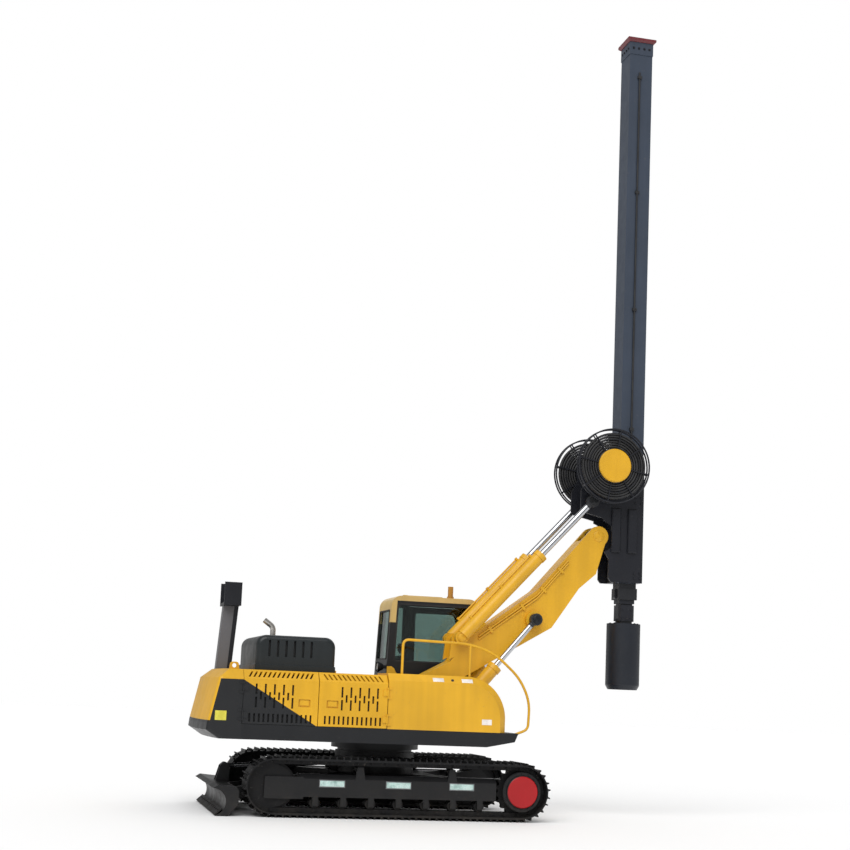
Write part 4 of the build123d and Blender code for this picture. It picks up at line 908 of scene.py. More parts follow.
    def rod(self, points: Sequence[Place], radius: float, sides: int = 8) -> None:
        """A round bar along straight runs, with a ball at each bend.

        Args:
            points: Its ends and bends.
            radius: Its radius.
            sides: Its number of flats.
        """
        for start, end in zip(points, points[1:]):
            self.bar(start, end, radius, sides)
        for bend in points[1:-1]:
            bmesh.ops.create_icosphere(self.bm, subdivisions=2, radius=radius,
                                       matrix=Matrix.Translation(bend))

    def tube(self, points: Sequence[Vector], radius: float, sides: int = 14) -> None:
        """A closed tube along a smooth line in a plane across Y.

        Args:
            points: The line's points.
            radius: Its radius.
            sides: Its number of flats.
        """
        rings = []
        last = len(points) - 1
        for number, point in enumerate(points):
            along = (points[min(number + 1, last)] - points[max(number - 1, 0)]).normalized()
            place = Matrix((along.cross(Y_AXIS), Y_AXIS, along)).transposed().to_4x4()
            place.translation = point
            made = bmesh.ops.create_circle(self.bm, cap_ends=number in (0, last), segments=sides,
                                           radius=radius, matrix=place)
            rings.append(self._edges(made["verts"]))
        for ring, after in zip(rings, rings[1:]):
            bmesh.ops.bridge_loops(self.bm, edges=ring + after)

    def cushion(self, size: Place, place: Matrix, crown: float, pull: float, cuts: int = 11) -> None:
        """A closed cushion with crowned faces, whose sides pull in between its corners.

        Args:
            size: Its length, width and thickness.
            place: Carries the cushion from the origin to its place.
            crown: How far the middles of its two broad faces stand out.
            pull: How far the middles of its sides draw in.
            cuts: How finely each edge is divided.
        """
        before = set(self.bm.verts)
        made = bmesh.ops.create_cube(self.bm, size=2.0)["verts"]
        bmesh.ops.subdivide_edges(self.bm, edges=self._edges(made), cuts=cuts, use_grid_fill=True)
        half, flat = Vector(size) / 2, self.cushion_flat
        for vert in [vert for vert in self.bm.verts if vert not in before]:
            u, v, w = vert.co
            round_u, round_v, round_w = 1 - u ** 4, 1 - v ** 4, 1 - w ** 4
            edge = 1 - self.cushion_rim * (1 - round_w)
            rise = (half.z * (1 - flat) + crown) * round_u * round_v
            vert.co = place @ Vector((u * (half.x * edge - pull * round_v),
                                      v * (half.y * edge - pull * round_u), w * (half.z * flat + rise)))

    def mirrored(self) -> None:
        """Add the same shape on the rig's other side."""
        bmesh.ops.mirror(self.bm, geom=self.bm.verts[:] + self.bm.edges[:] + self.bm.faces[:],
                         matrix=Matrix.Identity(4), merge_dist=-1.0, axis="Y")

    def object(self, name: str, sharp_deg: float = 35.0) -> bpy.types.Object:
        """Turn the shape into an object with its faces outwards.

        Args:
            name: The object's name.
            sharp_deg: The angle above which an edge stays sharp.

        Returns:
            The new object.
        """
        bmesh.ops.remove_doubles(self.bm, verts=self.bm.verts[:], dist=1e-6)
        bmesh.ops.recalc_face_normals(self.bm, faces=self.bm.faces[:])
        mesh = bpy.data.meshes.new(name)
        self.bm.to_mesh(mesh)
        self.bm.free()
        mesh.shade_smooth()
        mesh.set_sharp_from_angle(angle=math.radians(sharp_deg))
        thing = bpy.data.objects.new(name, mesh)
        bpy.context.scene.collection.objects.link(thing)
        return thing


@dataclass
class SubAssembly:
    """A group of pieces that ride on the rig's bodies."""

    finishes: Finishes
    slew_x: float
    pieces: list = field(default_factory=list)

    def at(self, x: float, y: float, z: float) -> Vector:
        """A place that is counted from the slew axis, in the frame of the model."""
        return Vector((x + self.slew_x, y, z))

    def upright(self, y: float) -> Matrix:
        """A plane that carries (x, z, depth) from the slew axis to a place, with the depth along Y."""
        return Matrix(((1, 0, 0, self.slew_x), (0, 0, 1, y), (0, 1, 0, 0), (0, 0, 0, 1)))

    def blocks(self, shape: Shape, blocks: Sequence[Block], origin: Point = (0.0, 0.0, 0.0)) -> None:
        """Add boxes to a shape.

        Args:
            shape: The shape that takes them.
            blocks: Each box's lowest corner, its highest corner and the width of its bevel.
            origin: Where the corners are counted from, as a place from the slew axis.
        """
        for low, high, soft in blocks:
            low, high = (self.at(*(a + b for a, b in zip(origin, corner))) for corner in (low, high))
            shape.box(low, high, soft)

    def add_both(self, shape: Shape, name: str, body: str, finish: Finish) -> None:
        """Mirror a shape to the other side, finish it and make it ride on a body."""
        shape.mirrored()
        self.add(shape, name, body, finish)

    def add(self, shape: Shape, name: str, body: str, finish: Finish,
            sharp_deg: float = 35.0) -> bpy.types.Object:
        """Finish a shape and make it ride on a body.

        Args:
            shape: The shape.
            name: The piece's name.
            body: The body that it moves with.
            finish: Its finish.
            sharp_deg: The angle above which an edge stays sharp.

        Returns:
            The piece.
        """
        thing = shape.object(name, sharp_deg)
        self.finishes.dress(thing, finish)
        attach(thing, body)
        self.pieces.append(name)
        LOG.info("%s rides on %s with %d faces", name, body, len(thing.data.polygons))
        return thing

    def build(self) -> None:
        """Make every piece of the group."""
        raise NotImplementedError


@dataclass
class TrackChains(SubAssembly):
    """Link bosses, pins and shoe bolts along both track loops."""

    shoes: int = 48
    reach: float = 1.72
    centre_x: float = 0.11
    grouser: float = 0.035
    plate: float = 0.015
    link_height: float = 0.07
    rail_spread: float = 0.15
    rail_width: float = 0.04
    boss: float = 0.033
    boss_thick: float = 0.012
    pin: float = 0.019
    pin_out: float = 0.024
    bolt: Pair = (0.013, 0.012)
    bolt_spread: float = 0.1

    def __post_init__(self) -> None:
        """Take the loop's size from the solid."""
        low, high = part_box("track_left")
        self.radius = (high.z - low.z) / 2
        self.middle = (low.y + high.y) / 2
        self.inner = self.radius - self.grouser - self.plate

    def station(self, distance: float) -> tuple[Vector, Vector, Vector]:
        """A place on the inside of the shoes.

        Args:
            distance: How far it is along the loop from the rear of the lower run.

        Returns:
            The place, the way along the loop and the way out of it.
        """
        run, arc = 2 * self.reach, math.pi * self.inner
        distance %= 2 * (run + arc)
        half_turn = distance >= run + arc
        distance -= (run + arc) if half_turn else 0
        turn = max(0.0, distance - run) / self.inner
        x = min(distance, run) - self.reach + self.inner * math.sin(turn)
        out = Vector((math.sin(turn), 0, -math.cos(turn)))
        place = Vector((x, 0, -self.inner * math.cos(turn)))
        if half_turn:
            place, out = -place, -out
        along = Vector((-out.z, 0, out.x))
        return self.at(self.centre_x, self.middle, self.radius) + place, along, out

    def build(self) -> None:
        """Make the links and the bolts of both loops."""
        pitch = 2 * (2 * self.reach + math.pi * self.inner) / self.shoes
        links, bolts = Shape(), Shape()
        edge = self.rail_spread / 2 + self.rail_width / 2
        for number in range(self.shoes):
            place, _, out = self.station(number * pitch)
            heart = place - out * self.link_height / 2
            reach = Y_AXIS * (edge + self.pin_out)
            links.bar(heart - reach, heart + reach, self.pin, 8)
            for side in SIDES:
                face = heart + Y_AXIS * side * edge
                links.bar(face, face + Y_AXIS * side * self.boss_thick, self.boss, 12)
            middle, along, out = self.station((number + 0.5) * pitch)
            seats = [middle + out * self.plate + along * step * pitch * self.bolt_spread
                     + Y_AXIS * side * self.rail_spread / 2 for step in SIDES for side in SIDES]
            bolts.bolts(seats, out, *self.bolt)
        self.add_both(links, "track_links", "undercarriage", Finish.TRACK)
        self.add_both(bolts, "shoe_bolts", "undercarriage", Finish.TRACK)


@dataclass
class TrackFrames(SubAssembly):
    """Reflectors on the side frames, and the bolted rings round the drives."""

    reflector: Pair = (0.33, 0.075)
    reflector_x: tuple[float, ...] = (-0.81, 0.10, 0.985)
    reflector_z: float = 0.45
    sheet_y: Pair = (-0.001, 0.004)
    rim: float = 0.012
    rim_back: float = 0.002
    ring_back: float = 0.05
    ring_profile: Line = ((0.001, -0.02), (0.001, 0.012), (0.045, 0.012), (0.052, 0.004), (0.052, -0.02))
    drive_bolts: int = 16
    bolt_place: Pair = (0.024, 0.012)
    bolt: Pair = (0.013, 0.012)

    def build(self) -> None:
        """Make the pieces of both sides."""
        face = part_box("track_frames")[1].y
        sheets, rims = Shape(), Shape()
        wide, tall = self.reflector
        rim = Vector((self.rim, 0, self.rim))
        for x in self.reflector_x:
            low = self.at(x - wide / 2, face + self.sheet_y[0], self.reflector_z - tall / 2)
            high = self.at(x + wide / 2, face + self.sheet_y[1], self.reflector_z + tall / 2)
            sheets.box(low, high, 0.0015)
            rims.box(low - rim, high + rim - Y_AXIS * self.rim_back, 0.001)
        self.add_both(sheets, "reflectors", "undercarriage", Finish.REFLECTOR)
        self.add_both(rims, "reflector_plates", "undercarriage", Finish.STEEL)
        self._drive_rings()

    def _drive_rings(self) -> None:
        """The bolted ring round each drive cover."""
        low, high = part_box("drive_covers")
        radius = (high.z - low.z) / 2
        ring, heads = Shape(), Shape()
        back = Vector(((low.x + high.x) / 2, high.y, (low.z + high.z) / 2)) - Y_AXIS * self.ring_back
        ring.turned([(radius + out, height) for out, height in self.ring_profile], back, Y_AXIS, closed=True)
        out, height = self.bolt_place
        for number in range(self.drive_bolts):
            turn = Matrix.Rotation(number * math.tau / self.drive_bolts, 3, "Y")
            heads.bolts([back + Y_AXIS * height + turn @ Vector((radius + out, 0, 0))], Y_AXIS, *self.bolt)
        self.add_both(ring, "drive_rings", "undercarriage", Finish.FRAME)
        self.add_both(heads, "drive_bolts", "undercarriage", Finish.FRAME)


@dataclass
class HoseReels(SubAssembly):
    """The wound hoses of both reels, and the wires over them."""

    hose: float = 0.017
    layers: int = 2
    hose_steps: int = 56
    cover_over: float = 0.02
    rim_wire: float = 0.011
    wire_in: float = 0.006
    wires: Line = ((1.0, 1.0), (0.72, 0.55))
    wire_steps: int = 72
    sharp_deg: float = 80

    def build(self) -> None:
        """Make each reel's windings."""
        for name in ("left", "right"):
            low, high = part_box(f"reel_hose_{name}")
            cover_low, cover_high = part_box(f"reel_cover_{name}")
            drum = (cover_high.z - cover_low.z) / 2 - self.cover_over
            middle = (low + high) / 2
            outer = (high.z - low.z) / 2
            turns = int((outer - drum) / (2 * self.hose))
            pitch = (outer - drum) / turns
            coil = Shape()
            for layer in range(self.layers):
                across = ((layer + 0.5) / self.layers - 0.5) * (high.y - low.y)
                for turn in range(turns):
                    radius = drum + (turn + 0.5) * pitch
                    coil.ring(middle + Y_AXIS * across, Y_AXIS, radius, self.hose, self.hose_steps)
            wound = self.add(coil, f"wound_hose_{name}", f"reel_{name}", Finish.HOSE, self.sharp_deg)
            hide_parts(f"reel_hose_{name}")
            self._wires(name, middle)

    def _wires(self, name: str, middle: Vector) -> None:
        """Round wire rims on the reel's flat ones.

        Args:
            name: The reel's side in words.
            middle: The reel's middle.
        """
        low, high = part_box(f"reel_{name}")
        radius = (high.z - low.z) / 2 - self.rim_wire
        rims = Shape()
        for face in (low.y + self.wire_in, high.y - self.wire_in):
            centre = Vector((middle.x, face, middle.z))
            for part, thick in self.wires:
                rims.ring(centre, Y_AXIS, radius * part, self.rim_wire * thick, self.wire_steps)
        self.add(rims, f"reel_wires_{name}", f"reel_{name}", Finish.BRACKET, self.sharp_deg)


@dataclass
class Cab(SubAssembly):
    """The seals, the wiper, the handles, the lamp's lens and the hatch of the cab."""

    near_y: float = 0.44
    far_y: float = 1.275
    seal_width: float = 0.026
    seal_depth: float = 0.022
    seal_rod: float = 0.012
    sunk: float = 0.003
    right_window: Outline = ((0.315, 2.14, 0.05), (0.345, 3.01, 0.08), (1.505, 3.01, 0.09),
                             (1.63, 2.53, 0.01), (1.62, 2.14, 0.05))
    rear_window: Outline = ((0.315, 2.14, 0.05), (0.345, 3.01, 0.08), (0.65, 3.01, 0.04),
                            (0.65, 2.14, 0.05))
    door_window: Outline = ((0.80, 2.14, 0.05), (0.80, 2.94, 0.06), (1.46, 2.94, 0.08), (1.555, 2.53, 0.01),
                            (1.54, 2.14, 0.05))
    front_line: Line = ((1.700, 1.80), (1.720, 1.95), (1.730, 2.55), (1.628, 2.95))
    front_y: Pair = (0.515, 1.20)
    back_line: Line = ((0.229, 2.18), (0.257, 2.90))
    back_y: Pair = (0.53, 1.185)
    wiper: tuple[Point, Point] = ((1.712, 1.03, 1.84), (1.744, 0.78, 2.32))
    wiper_hub: Pair = (-0.02, 0.022)
    hub_radius: float = 0.022
    arm_out: float = 0.016
    arm_radius: float = 0.008
    clip_radius: float = 0.009
    blade: tuple[Point, Point] = ((1.740, 0.73, 2.03), (1.747, 0.83, 2.62))
    blade_radius: float = 0.007
    latch: tuple[Block, ...] = (((1.40, -0.001, 1.70), (1.51, 0.006, 1.87), 0.003),
                                ((1.415, 0.004, 1.76), (1.495, 0.021, 1.795), 0.005))
    rail_x: float = 1.655
    rail_y: Pair = (-0.03, 0.009)
    rail_z: Pair = (1.62, 2.28)
    rail_radius: float = 0.011
    lamp: Point = (0.112, 0.545, 2.06)
    lamp_radius: float = 0.071
    lens_profile: Line = ((0.0, 0.014), (0.5, 0.011), (0.85, 0.004), (1.0, -0.002), (1.0, -0.01),
                          (0.0, -0.01))
    guard: Line = ((0.225, 1.952), (0.225, 2.07), (0.29, 2.075), (0.335, 2.045), (0.36, 1.99),
                   (0.40, 1.952))
    guard_out: float = 0.014
    guard_thick: float = 0.012
    hatch: Span = ((0.52, 1.08), (0.62, 1.10))
    hatch_z: Pair = (-0.004, 0.022)
    hinge_in: float = 0.1
    hinge: Block = ((-0.03, -0.03, -0.004), (0.04, 0.03, 0.03), 0.006)
    roof_z: float = 3.12

    def build(self) -> None:
        """Make every piece of the cab's outside."""
        seals, door_seal = Shape(), Shape()
        near = self.upright(self.near_y - self.sunk)
        far = self.upright(self.far_y - (self.seal_depth - self.sunk))
        for shape, window, plane in ((seals, self.right_window, near), (seals, self.rear_window, far),
                                     (door_seal, self.door_window, far)):
            shape.frame(window, plane, self.seal_width, self.seal_depth)
        for line, width in ((self.front_line, self.front_y), (self.back_line, self.back_y)):
            for y in width:
                seals.rod([self.at(x, y, z) for x, z in line], self.seal_rod)
            for x, z in (line[0], line[-1]):
                seals.bar(self.at(x, width[0], z), self.at(x, width[1], z), self.seal_rod, 8)
        self.add(seals, "window_seals", "upper", Finish.RUBBER)
        self.add(door_seal, "door_window_seal", "cab_door", Finish.RUBBER)
        self._wiper()
        self._handles()
        self._roof_and_lamp()

    def _wiper(self) -> None:
        """The front window's wiper."""
        arm = Shape()
        start, end = (self.at(*place) for place in self.wiper)
        back, front = (start + X_AXIS * way for way in self.wiper_hub)
        arm.bar(back, front, self.hub_radius, 16, 0.004)
        arm.bar(start + X_AXIS * self.arm_out, end, self.arm_radius, 8)
        low, high = (self.at(*place) for place in self.blade)
        arm.bar(low, high, self.blade_radius, 6)
        arm.bar((low + high) / 2, end, self.clip_radius, 8)
        self.add(arm, "front_wiper", "upper", Finish.RUBBER)

    def _handles(self) -> None:
        """The door's latch plate and lever, and the grab rail ahead of the door."""
        latch, rail = Shape(), Shape()
        self.blocks(latch, self.latch, (0.0, self.far_y, 0.0))
        self.add(latch, "door_latch", "cab_door", Finish.PLASTIC)
        back, out = self.rail_y
        foot, head = (self.at(self.rail_x, self.far_y + out, z) for z in self.rail_z)
        rail.rod([foot + Y_AXIS * back, foot, head, head + Y_AXIS * back], self.rail_radius, 10)
        self.add(rail, "grab_rail", "upper", Finish.BLACK)

    def _roof_and_lamp(self) -> None:
        """The roof's hatch, the rear lamp's lens and the yellow guard at the rear corner."""
        hatch, lens, guard = Shape(), Shape(), Shape()
        (x0, x1), (y0, y1) = self.hatch
        low, high = self.hatch_z
        self.blocks(hatch, [((x0, y0, low), (x1, y1, high), 0.01)], (0.0, 0.0, self.roof_z))
        for y in (y0 + self.hinge_in, y1 - self.hinge_in):
            self.blocks(hatch, [self.hinge], (x0, y, self.roof_z))
        self.add(hatch, "roof_hatch", "upper", Finish.ROOF)
        profile = [(self.lamp_radius * part, height) for part, height in self.lens_profile]
        lens.turned(profile, self.at(*self.lamp), -X_AXIS, 40)
        self.add(lens, "rear_lamp_lens", "upper", Finish.LAMP)
        guard.plate(self.guard, self.upright(self.near_y - self.guard_out), self.guard_thick)
        self.add(guard, "corner_guard", "upper", Finish.YELLOW)


@dataclass
class CabInside(SubAssembly):
    """The seat's cushions, its stand, the levers and the screen in the cab."""

    seat_x: float = 0.46
    seat_y: float = 0.8575
    floor_z: float = 1.245
    seat_place: Pair = (0.31, 0.435)
    hip_place: Pair = (0.15, 0.48)
    seat_size: Point = (0.48, 0.45, 0.10)
    back_size: Point = (0.60, 0.43, 0.10)
    head_size: Point = (0.15, 0.24, 0.08)
    head_gap: float = 0.035
    crown: Pair = (0.018, 0.012)
    head_crown: Pair = (0.012, 0.006)
    fill: float = 0.7
    back_lean_deg: float = 7.0
    stand: tuple[Block, ...] = (((0.15, -0.16, 0.0), (0.47, 0.16, 0.34), 0.015),
                                ((0.06, -0.215, 0.33), (0.54, 0.215, 0.39), 0.02))
    shell: Block = ((0.045, -0.19, 0.36), (0.085, 0.19, 1.0), 0.015)
    arm_out: float = 0.275
    arm_boxes: tuple[Block, ...] = (((0.60, -0.035, 0.50), (1.02, 0.035, 0.57), 0.012),
                                    ((0.66, -0.025, 0.36), (0.86, 0.025, 0.51), 0.008))
    hand_lever: Line = ((0.97, 0.56), (0.99, 0.68))
    hand_grip: Line = ((0.99, 0.67), (1.01, 0.80))
    travel_out: float = 0.07
    travel_lever: Line = ((1.30, 0.02), (1.25, 0.50), (1.20, 0.66))
    travel_grip: Line = ((1.205, 0.645), (1.185, 0.73))
    screen: Block = ((1.43, 0.53, 0.86), (1.475, 0.73, 1.01), 0.01)
    screen_leg: Outline = ((1.46, 0.63, 0.79), (1.46, 0.63, 0.88))

    def build(self) -> None:
        """Make every piece of the cab's inside."""
        seat, back = Shape(), Shape()
        middle, hip = (self.at(self.seat_x + x, self.seat_y, self.floor_z + z)
                       for x, z in (self.seat_place, self.hip_place))
        seat.cushion(self.seat_size, Matrix.Translation(middle), *self.crown)
        lean = Matrix.Rotation(math.radians(-90 - self.back_lean_deg), 4, "Y")
        up = lean @ X_AXIS
        tall = self.back_size[0]
        back.cushion(self.back_size, Matrix.Translation(hip + up * tall / 2) @ lean, *self.crown)
        top = hip + up * (tall + self.head_gap)
        back.cushion(self.head_size, Matrix.Translation(top) @ lean, *self.head_crown)
        cushion = self.add(seat, "seat_cushion", "upper", Finish.SEAT, 60)
        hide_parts("operator_seat")
        self.add(back, "seat_back", "upper", Finish.SEAT, 60)
        self._stand()
        self._controls()

    def _stand(self) -> None:
        """The seat's stand, pan and shell."""
        stand = Shape()
        origin = (self.seat_x, self.seat_y, self.floor_z)
        self.blocks(stand, self.stand, origin)
        low, high, soft = self.shell
        low, high = (self.at(*(a + b for a, b in zip(origin, corner))) for corner in (low, high))
        stand.box(low, high, soft, Matrix.Rotation(math.radians(-self.back_lean_deg), 3, "Y"))
        self.add(stand, "seat_stand", "upper", Finish.PLASTIC)

    def _lever(self, line: Line, y: float) -> list[Vector]:
        """A lever's points, with its heights counted from the cab's floor.

        Args:
            line: The points as (x, height).
            y: Where the lever stands across the cab.

        Returns:
            The points in the frame of the model.
        """
        return [self.at(x, y, self.floor_z + z) for x, z in line]

    def _controls(self) -> None:
        """The arm boxes with their levers, the travel levers and the screen."""
        boxes, levers = Shape(), Shape()
        for side in SIDES:
            y = self.seat_y + side * self.arm_out
            self.blocks(boxes, self.arm_boxes, (0.0, y, self.floor_z))
            levers.rod(self._lever(self.hand_lever, y), 0.011)
            levers.bar(*self._lever(self.hand_grip, y), 0.021, 12, 0.006, 0.026)
            y = self.seat_y + side * self.travel_out
            levers.rod(self._lever(self.travel_lever, y), 0.010)
            levers.bar(*self._lever(self.travel_grip, y), 0.017, 12, 0.005)
        self.blocks(boxes, [self.screen], (0.0, 0.0, self.floor_z))
        low, high = (self.at(x, y, self.floor_z + z) for x, y, z in self.screen_leg)
        boxes.bar(low, high, 0.012, 10)
        self.add(boxes, "arm_boxes", "upper", Finish.PLASTIC)
        self.add(levers, "levers", "upper", Finish.RUBBER)


@dataclass
class House(SubAssembly):
    """Dark sheets behind the slots, which are painted shade for the dim inside of the house, and the bare
    labels and plates on the house.
    """

    shade_sheet_y: float = 1.2005
    shade_sheet_z: Pair = (1.225, 1.775)
    shade_sheet_thick: float = 0.008
    shoulder: Pair = (1.164, 1.819)
    shoulder_wide: float = 0.094
    doors: tuple[tuple[str, str, float, float, int], ...] = (
        ("screen_right_rear", "door_right_rear", -2.03, -1.105, -1),
        ("screen_right_front", "door_right_front", -1.015, -0.165, -1),
        ("screen_left_rear", "door_left_rear", -2.03, -1.105, 1),
        ("screen_left_front", "upper", -1.015, -0.165, 1))
    hood_x: Pair = (-1.80, -0.95)
    hood_y: float = 0.829
    hood_z: Pair = (2.08, 2.338)
    label_x: tuple[float, ...] = (0.59, 1.00)
    label_size: Point = (0.155, 0.07, 0.005)
    label_place: Pair = (-1.214, 1.886)
    lock_x: float = 0.79
    lock_out: Pair = (-0.004, 0.008)
    lock_radius: float = 0.02
    low_label: Block = ((1.22, -0.002, 1.30), (1.36, 0.001, 1.375), 0.0005)
    tail_plate: Block = ((-2.43, -0.003, 1.24), (-2.28, 0.001, 1.365), 0.001)
    side_y: float = -1.25

    def build(self) -> None:
        """Make every piece."""
        for name, body, start, end, side in self.doors:
            # Each door's slots get a dark sheet behind them, with a slanted strip under the shoulder: painted
            # shade for the inside of the house.
            screen = Shape()
            inner, outer = sorted((side * self.shade_sheet_y, side * (self.shade_sheet_y + self.shade_sheet_thick)))
            screen.box(self.at(start, inner, self.shade_sheet_z[0]), self.at(end, outer, self.shade_sheet_z[1]))
            y, z = self.shoulder
            half, thick = self.shoulder_wide / 2, self.shade_sheet_thick / 2
            screen.box(self.at(start, side * y - half, z - thick), self.at(end, side * y + half, z + thick),
                       turn=Matrix.Rotation(math.radians(-45 * side), 3, "X"))
            self.add(screen, name, body, Finish.RUBBER)
        # A dark sheet behind each side of the hood: painted shade seen through the hood's slots.
        hood = Shape()
        hood.box(self.at(self.hood_x[0], self.hood_y, self.hood_z[0]),
                 self.at(self.hood_x[1], self.hood_y + self.shade_sheet_thick, self.hood_z[1]))
        self.add_both(hood, "hood_screens", "hood", Finish.RUBBER)
        self._labels()

    def _labels(self) -> None:
        """The bare labels, the box's lock and the plate on the tail."""
        labels, plate, lock = Shape(), Shape(), Shape()
        slant = Matrix.Rotation(math.radians(45), 3, "X")
        y, z = self.label_place
        half = Vector(self.label_size) / 2
        for x in self.label_x:
            middle = self.at(x, y, z)
            labels.box(middle - half, middle + half, 0.001, slant)
        origin = (0.0, self.side_y, 0.0)
        self.blocks(labels, [self.low_label], origin)
        self.add(labels, "box_labels", "upper", Finish.LABEL)
        outward = slant @ Z_AXIS
        foot, head = (self.at(self.lock_x, y, z) + outward * out for out in self.lock_out)
        lock.bar(foot, head, self.lock_radius, 16, 0.003)
        self.add(lock, "box_lock", "upper", Finish.PLASTIC)
        self.blocks(plate, [self.tail_plate], origin)
        self.add(plate, "tail_plate", "upper", Finish.PLATE)


@dataclass
class Handrail(SubAssembly):
    """The bent rail over the front box, with its middle post."""

    y: float = -1.10
    radius: float = 0.018
    corners: Outline = ((0.100, 1.94, 0.0), (0.100, 2.42, 0.09), (1.060, 2.40, 0.185),
                        (1.420, 2.28, 0.185), (1.790, 1.96, 0.17), (1.945, 1.64, 0.165),
                        (1.930, 1.255, 0.075), (1.700, 1.165, 0.0))
    post: Point = (1.060, 1.94, 2.385)
    post_radius: float = 0.016
    bend_steps: int = 8

    def build(self) -> None:
        """Make the rail in place of the CAD's one."""
        rail, line = Shape(), []
        places = [self.at(x, self.y, z) for x, z, _ in self.corners]
        for number, (place, (_, _, reach)) in enumerate(zip(places, self.corners)):
            if reach == 0.0:
                line.append(place)
                continue
            start = place + (places[number - 1] - place).normalized() * reach
            end = place + (places[number + 1] - place).normalized() * reach
            for step in range(self.bend_steps + 1):
                part = step / self.bend_steps
                line.append(start.lerp(place, part).lerp(place.lerp(end, part), part))
        rail.tube(line, self.radius)
        x, low, high = self.post
        rail.bar(self.at(x, self.y, low), self.at(x, self.y, high), self.post_radius, 14)
        piece = self.add(rail, "handrail_tube", "upper", Finish.YELLOW)
        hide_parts("handrail")


@dataclass(frozen=True)
class PinCap:
    """The caps on both ends of one pin."""

    name: str
    body: str
    place: Pair
    face_y: float
    radius: float
    finish: Finish


@dataclass
class BoomPins(SubAssembly):
    """The bolted caps on the pins of the boom and the rams, and the bolts of the rams' glands."""

    caps: tuple[PinCap, ...] = (
        PinCap("tilt_base_caps", "boom", (1.130, 2.510), 0.392, 0.060, Finish.YELLOW),
        PinCap("boom_tip_caps", "boom", (3.240, 4.130), 0.190, 0.085, Finish.YELLOW),
        PinCap("lift_eye_caps", "lift_rods", (2.250, 2.830), 0.389, 0.060, Finish.BLACK),
        PinCap("tilt_eye_caps", "tilt_rods", (3.080, 4.630), 0.389, 0.060, Finish.BLACK),
        PinCap("lift_base_caps", "upper", (1.130, 1.500), 0.392, 0.060, Finish.BLACK))
    cap_thick: float = 0.009
    cap_edge: Pair = (0.006, 0.004)
    cap_bolts: int = 3
    cap_bolt: Pair = (0.011, 0.009)
    cap_bolt_out: float = 0.62
    cap_bolt_turn: float = 0.25
    glands: tuple[tuple[str, str, Pair, Pair, float, float], ...] = (
        ("lift_gland_bolts", "lift_barrels", (1.130, 1.500), (2.250, 2.830), 0.820, 0.0745),
        ("tilt_gland_bolts", "tilt_barrels", (1.130, 2.510), (3.080, 4.630), 1.730, 0.0765))
    gland_bolts: int = 8
    gland_bolt: Pair = (0.010, 0.010)
    ram_y: float = 0.33

    def build(self) -> None:
        """Make the caps and the bolts of both sides."""
        for pin in self.caps:
            cap, radius = Shape(), pin.radius
            face = self.at(pin.place[0], pin.face_y, pin.place[1])
            thick, (edge, drop) = self.cap_thick, self.cap_edge
            cap.turned([(0.0, thick), (radius - edge, thick), (radius, thick - drop), (radius, -drop),
                        (0.0, -drop)], face, Y_AXIS, 32)
            for number in range(self.cap_bolts):
                angle = (number + self.cap_bolt_turn) * math.tau / self.cap_bolts
                out = Matrix.Rotation(angle, 3, "Y") @ Vector((radius * self.cap_bolt_out, 0, 0))
                cap.bolts([face + Y_AXIS * thick + out], Y_AXIS, *self.cap_bolt)
            self.add_both(cap, pin.name, pin.body, pin.finish)
        for name, body, base, eye, reach, radius in self.glands:
            heads = Shape()
            along = Vector((eye[0] - base[0], 0, eye[1] - base[1])).normalized()
            across = along.cross(Y_AXIS)
            face = self.at(base[0], self.ram_y, base[1]) + along * reach
            for number in range(self.gland_bolts):
                angle = number * math.tau / self.gland_bolts
                out = Y_AXIS * math.cos(angle) + across * math.sin(angle)
                heads.bolts([face + out * radius], along, *self.gland_bolt)
            self.add_both(heads, name, body, Finish.YELLOW)


@dataclass
class MastBolts(SubAssembly):
    """The bolts of the mast's band, bracket and power head, and of the drilling barrel's top."""

    mast_x: float = 3.74
    band: Pair = (0.193, 11.85)
    band_places: tuple[float, ...] = (-0.13, -0.045, 0.045, 0.13)
    plate_y: float = 0.23
    plate_bolts: Line = tuple((x, z) for x in (3.80, 3.89) for z in (3.53, 3.60, 4.66, 4.74, 5.15, 5.22))
    plate_bolt: Pair = (0.016, 0.014)
    head: Pair = (0.1235, 2.99)
    head_step: float = 0.065
    head_bolt: Pair = (0.013, 0.012)
    lid: Pair = (0.21, 2.852)
    lid_bolts: int = 12
    bolt: Pair = (0.014, 0.012)

    def build(self) -> None:
        """Make the bolts of each body."""
        half, z = self.band
        bolts = Shape()
        for place in self.band_places:
            bolts.bolts([self.at(self.mast_x + place, half, z)], Y_AXIS, *self.bolt)
        seats = [self.at(x, self.plate_y, height) for x, height in self.plate_bolts]
        bolts.bolts(seats, Y_AXIS, *self.plate_bolt)
        bolts.mirrored()
        for place in self.band_places:
            for side in SIDES:
                bolts.bolts([self.at(self.mast_x + side * half, place, z)], X_AXIS * side, *self.bolt)
        self.add(bolts, "mast_bolts", "mast", Finish.BRACKET)
        half, z = self.head
        bolts, step = Shape(), self.head_step
        for side in SIDES:
            for high in SIDES:
                seat = self.at(self.mast_x + side * step, half, z + high * step)
                bolts.bolts([seat], Y_AXIS, *self.head_bolt)
        self.add_both(bolts, "head_bolts", "stage_2", Finish.BRACKET)
        radius, z = self.lid
        bolts = Shape()
        for number in range(self.lid_bolts):
            angle = number * math.tau / self.lid_bolts
            out = Vector((radius * math.cos(angle), radius * math.sin(angle), 0))
            bolts.bolts([self.at(self.mast_x, 0, z) + out], Z_AXIS, *self.bolt)
        self.add(bolts, "barrel_bolts", "drill", Finish.BRACKET)


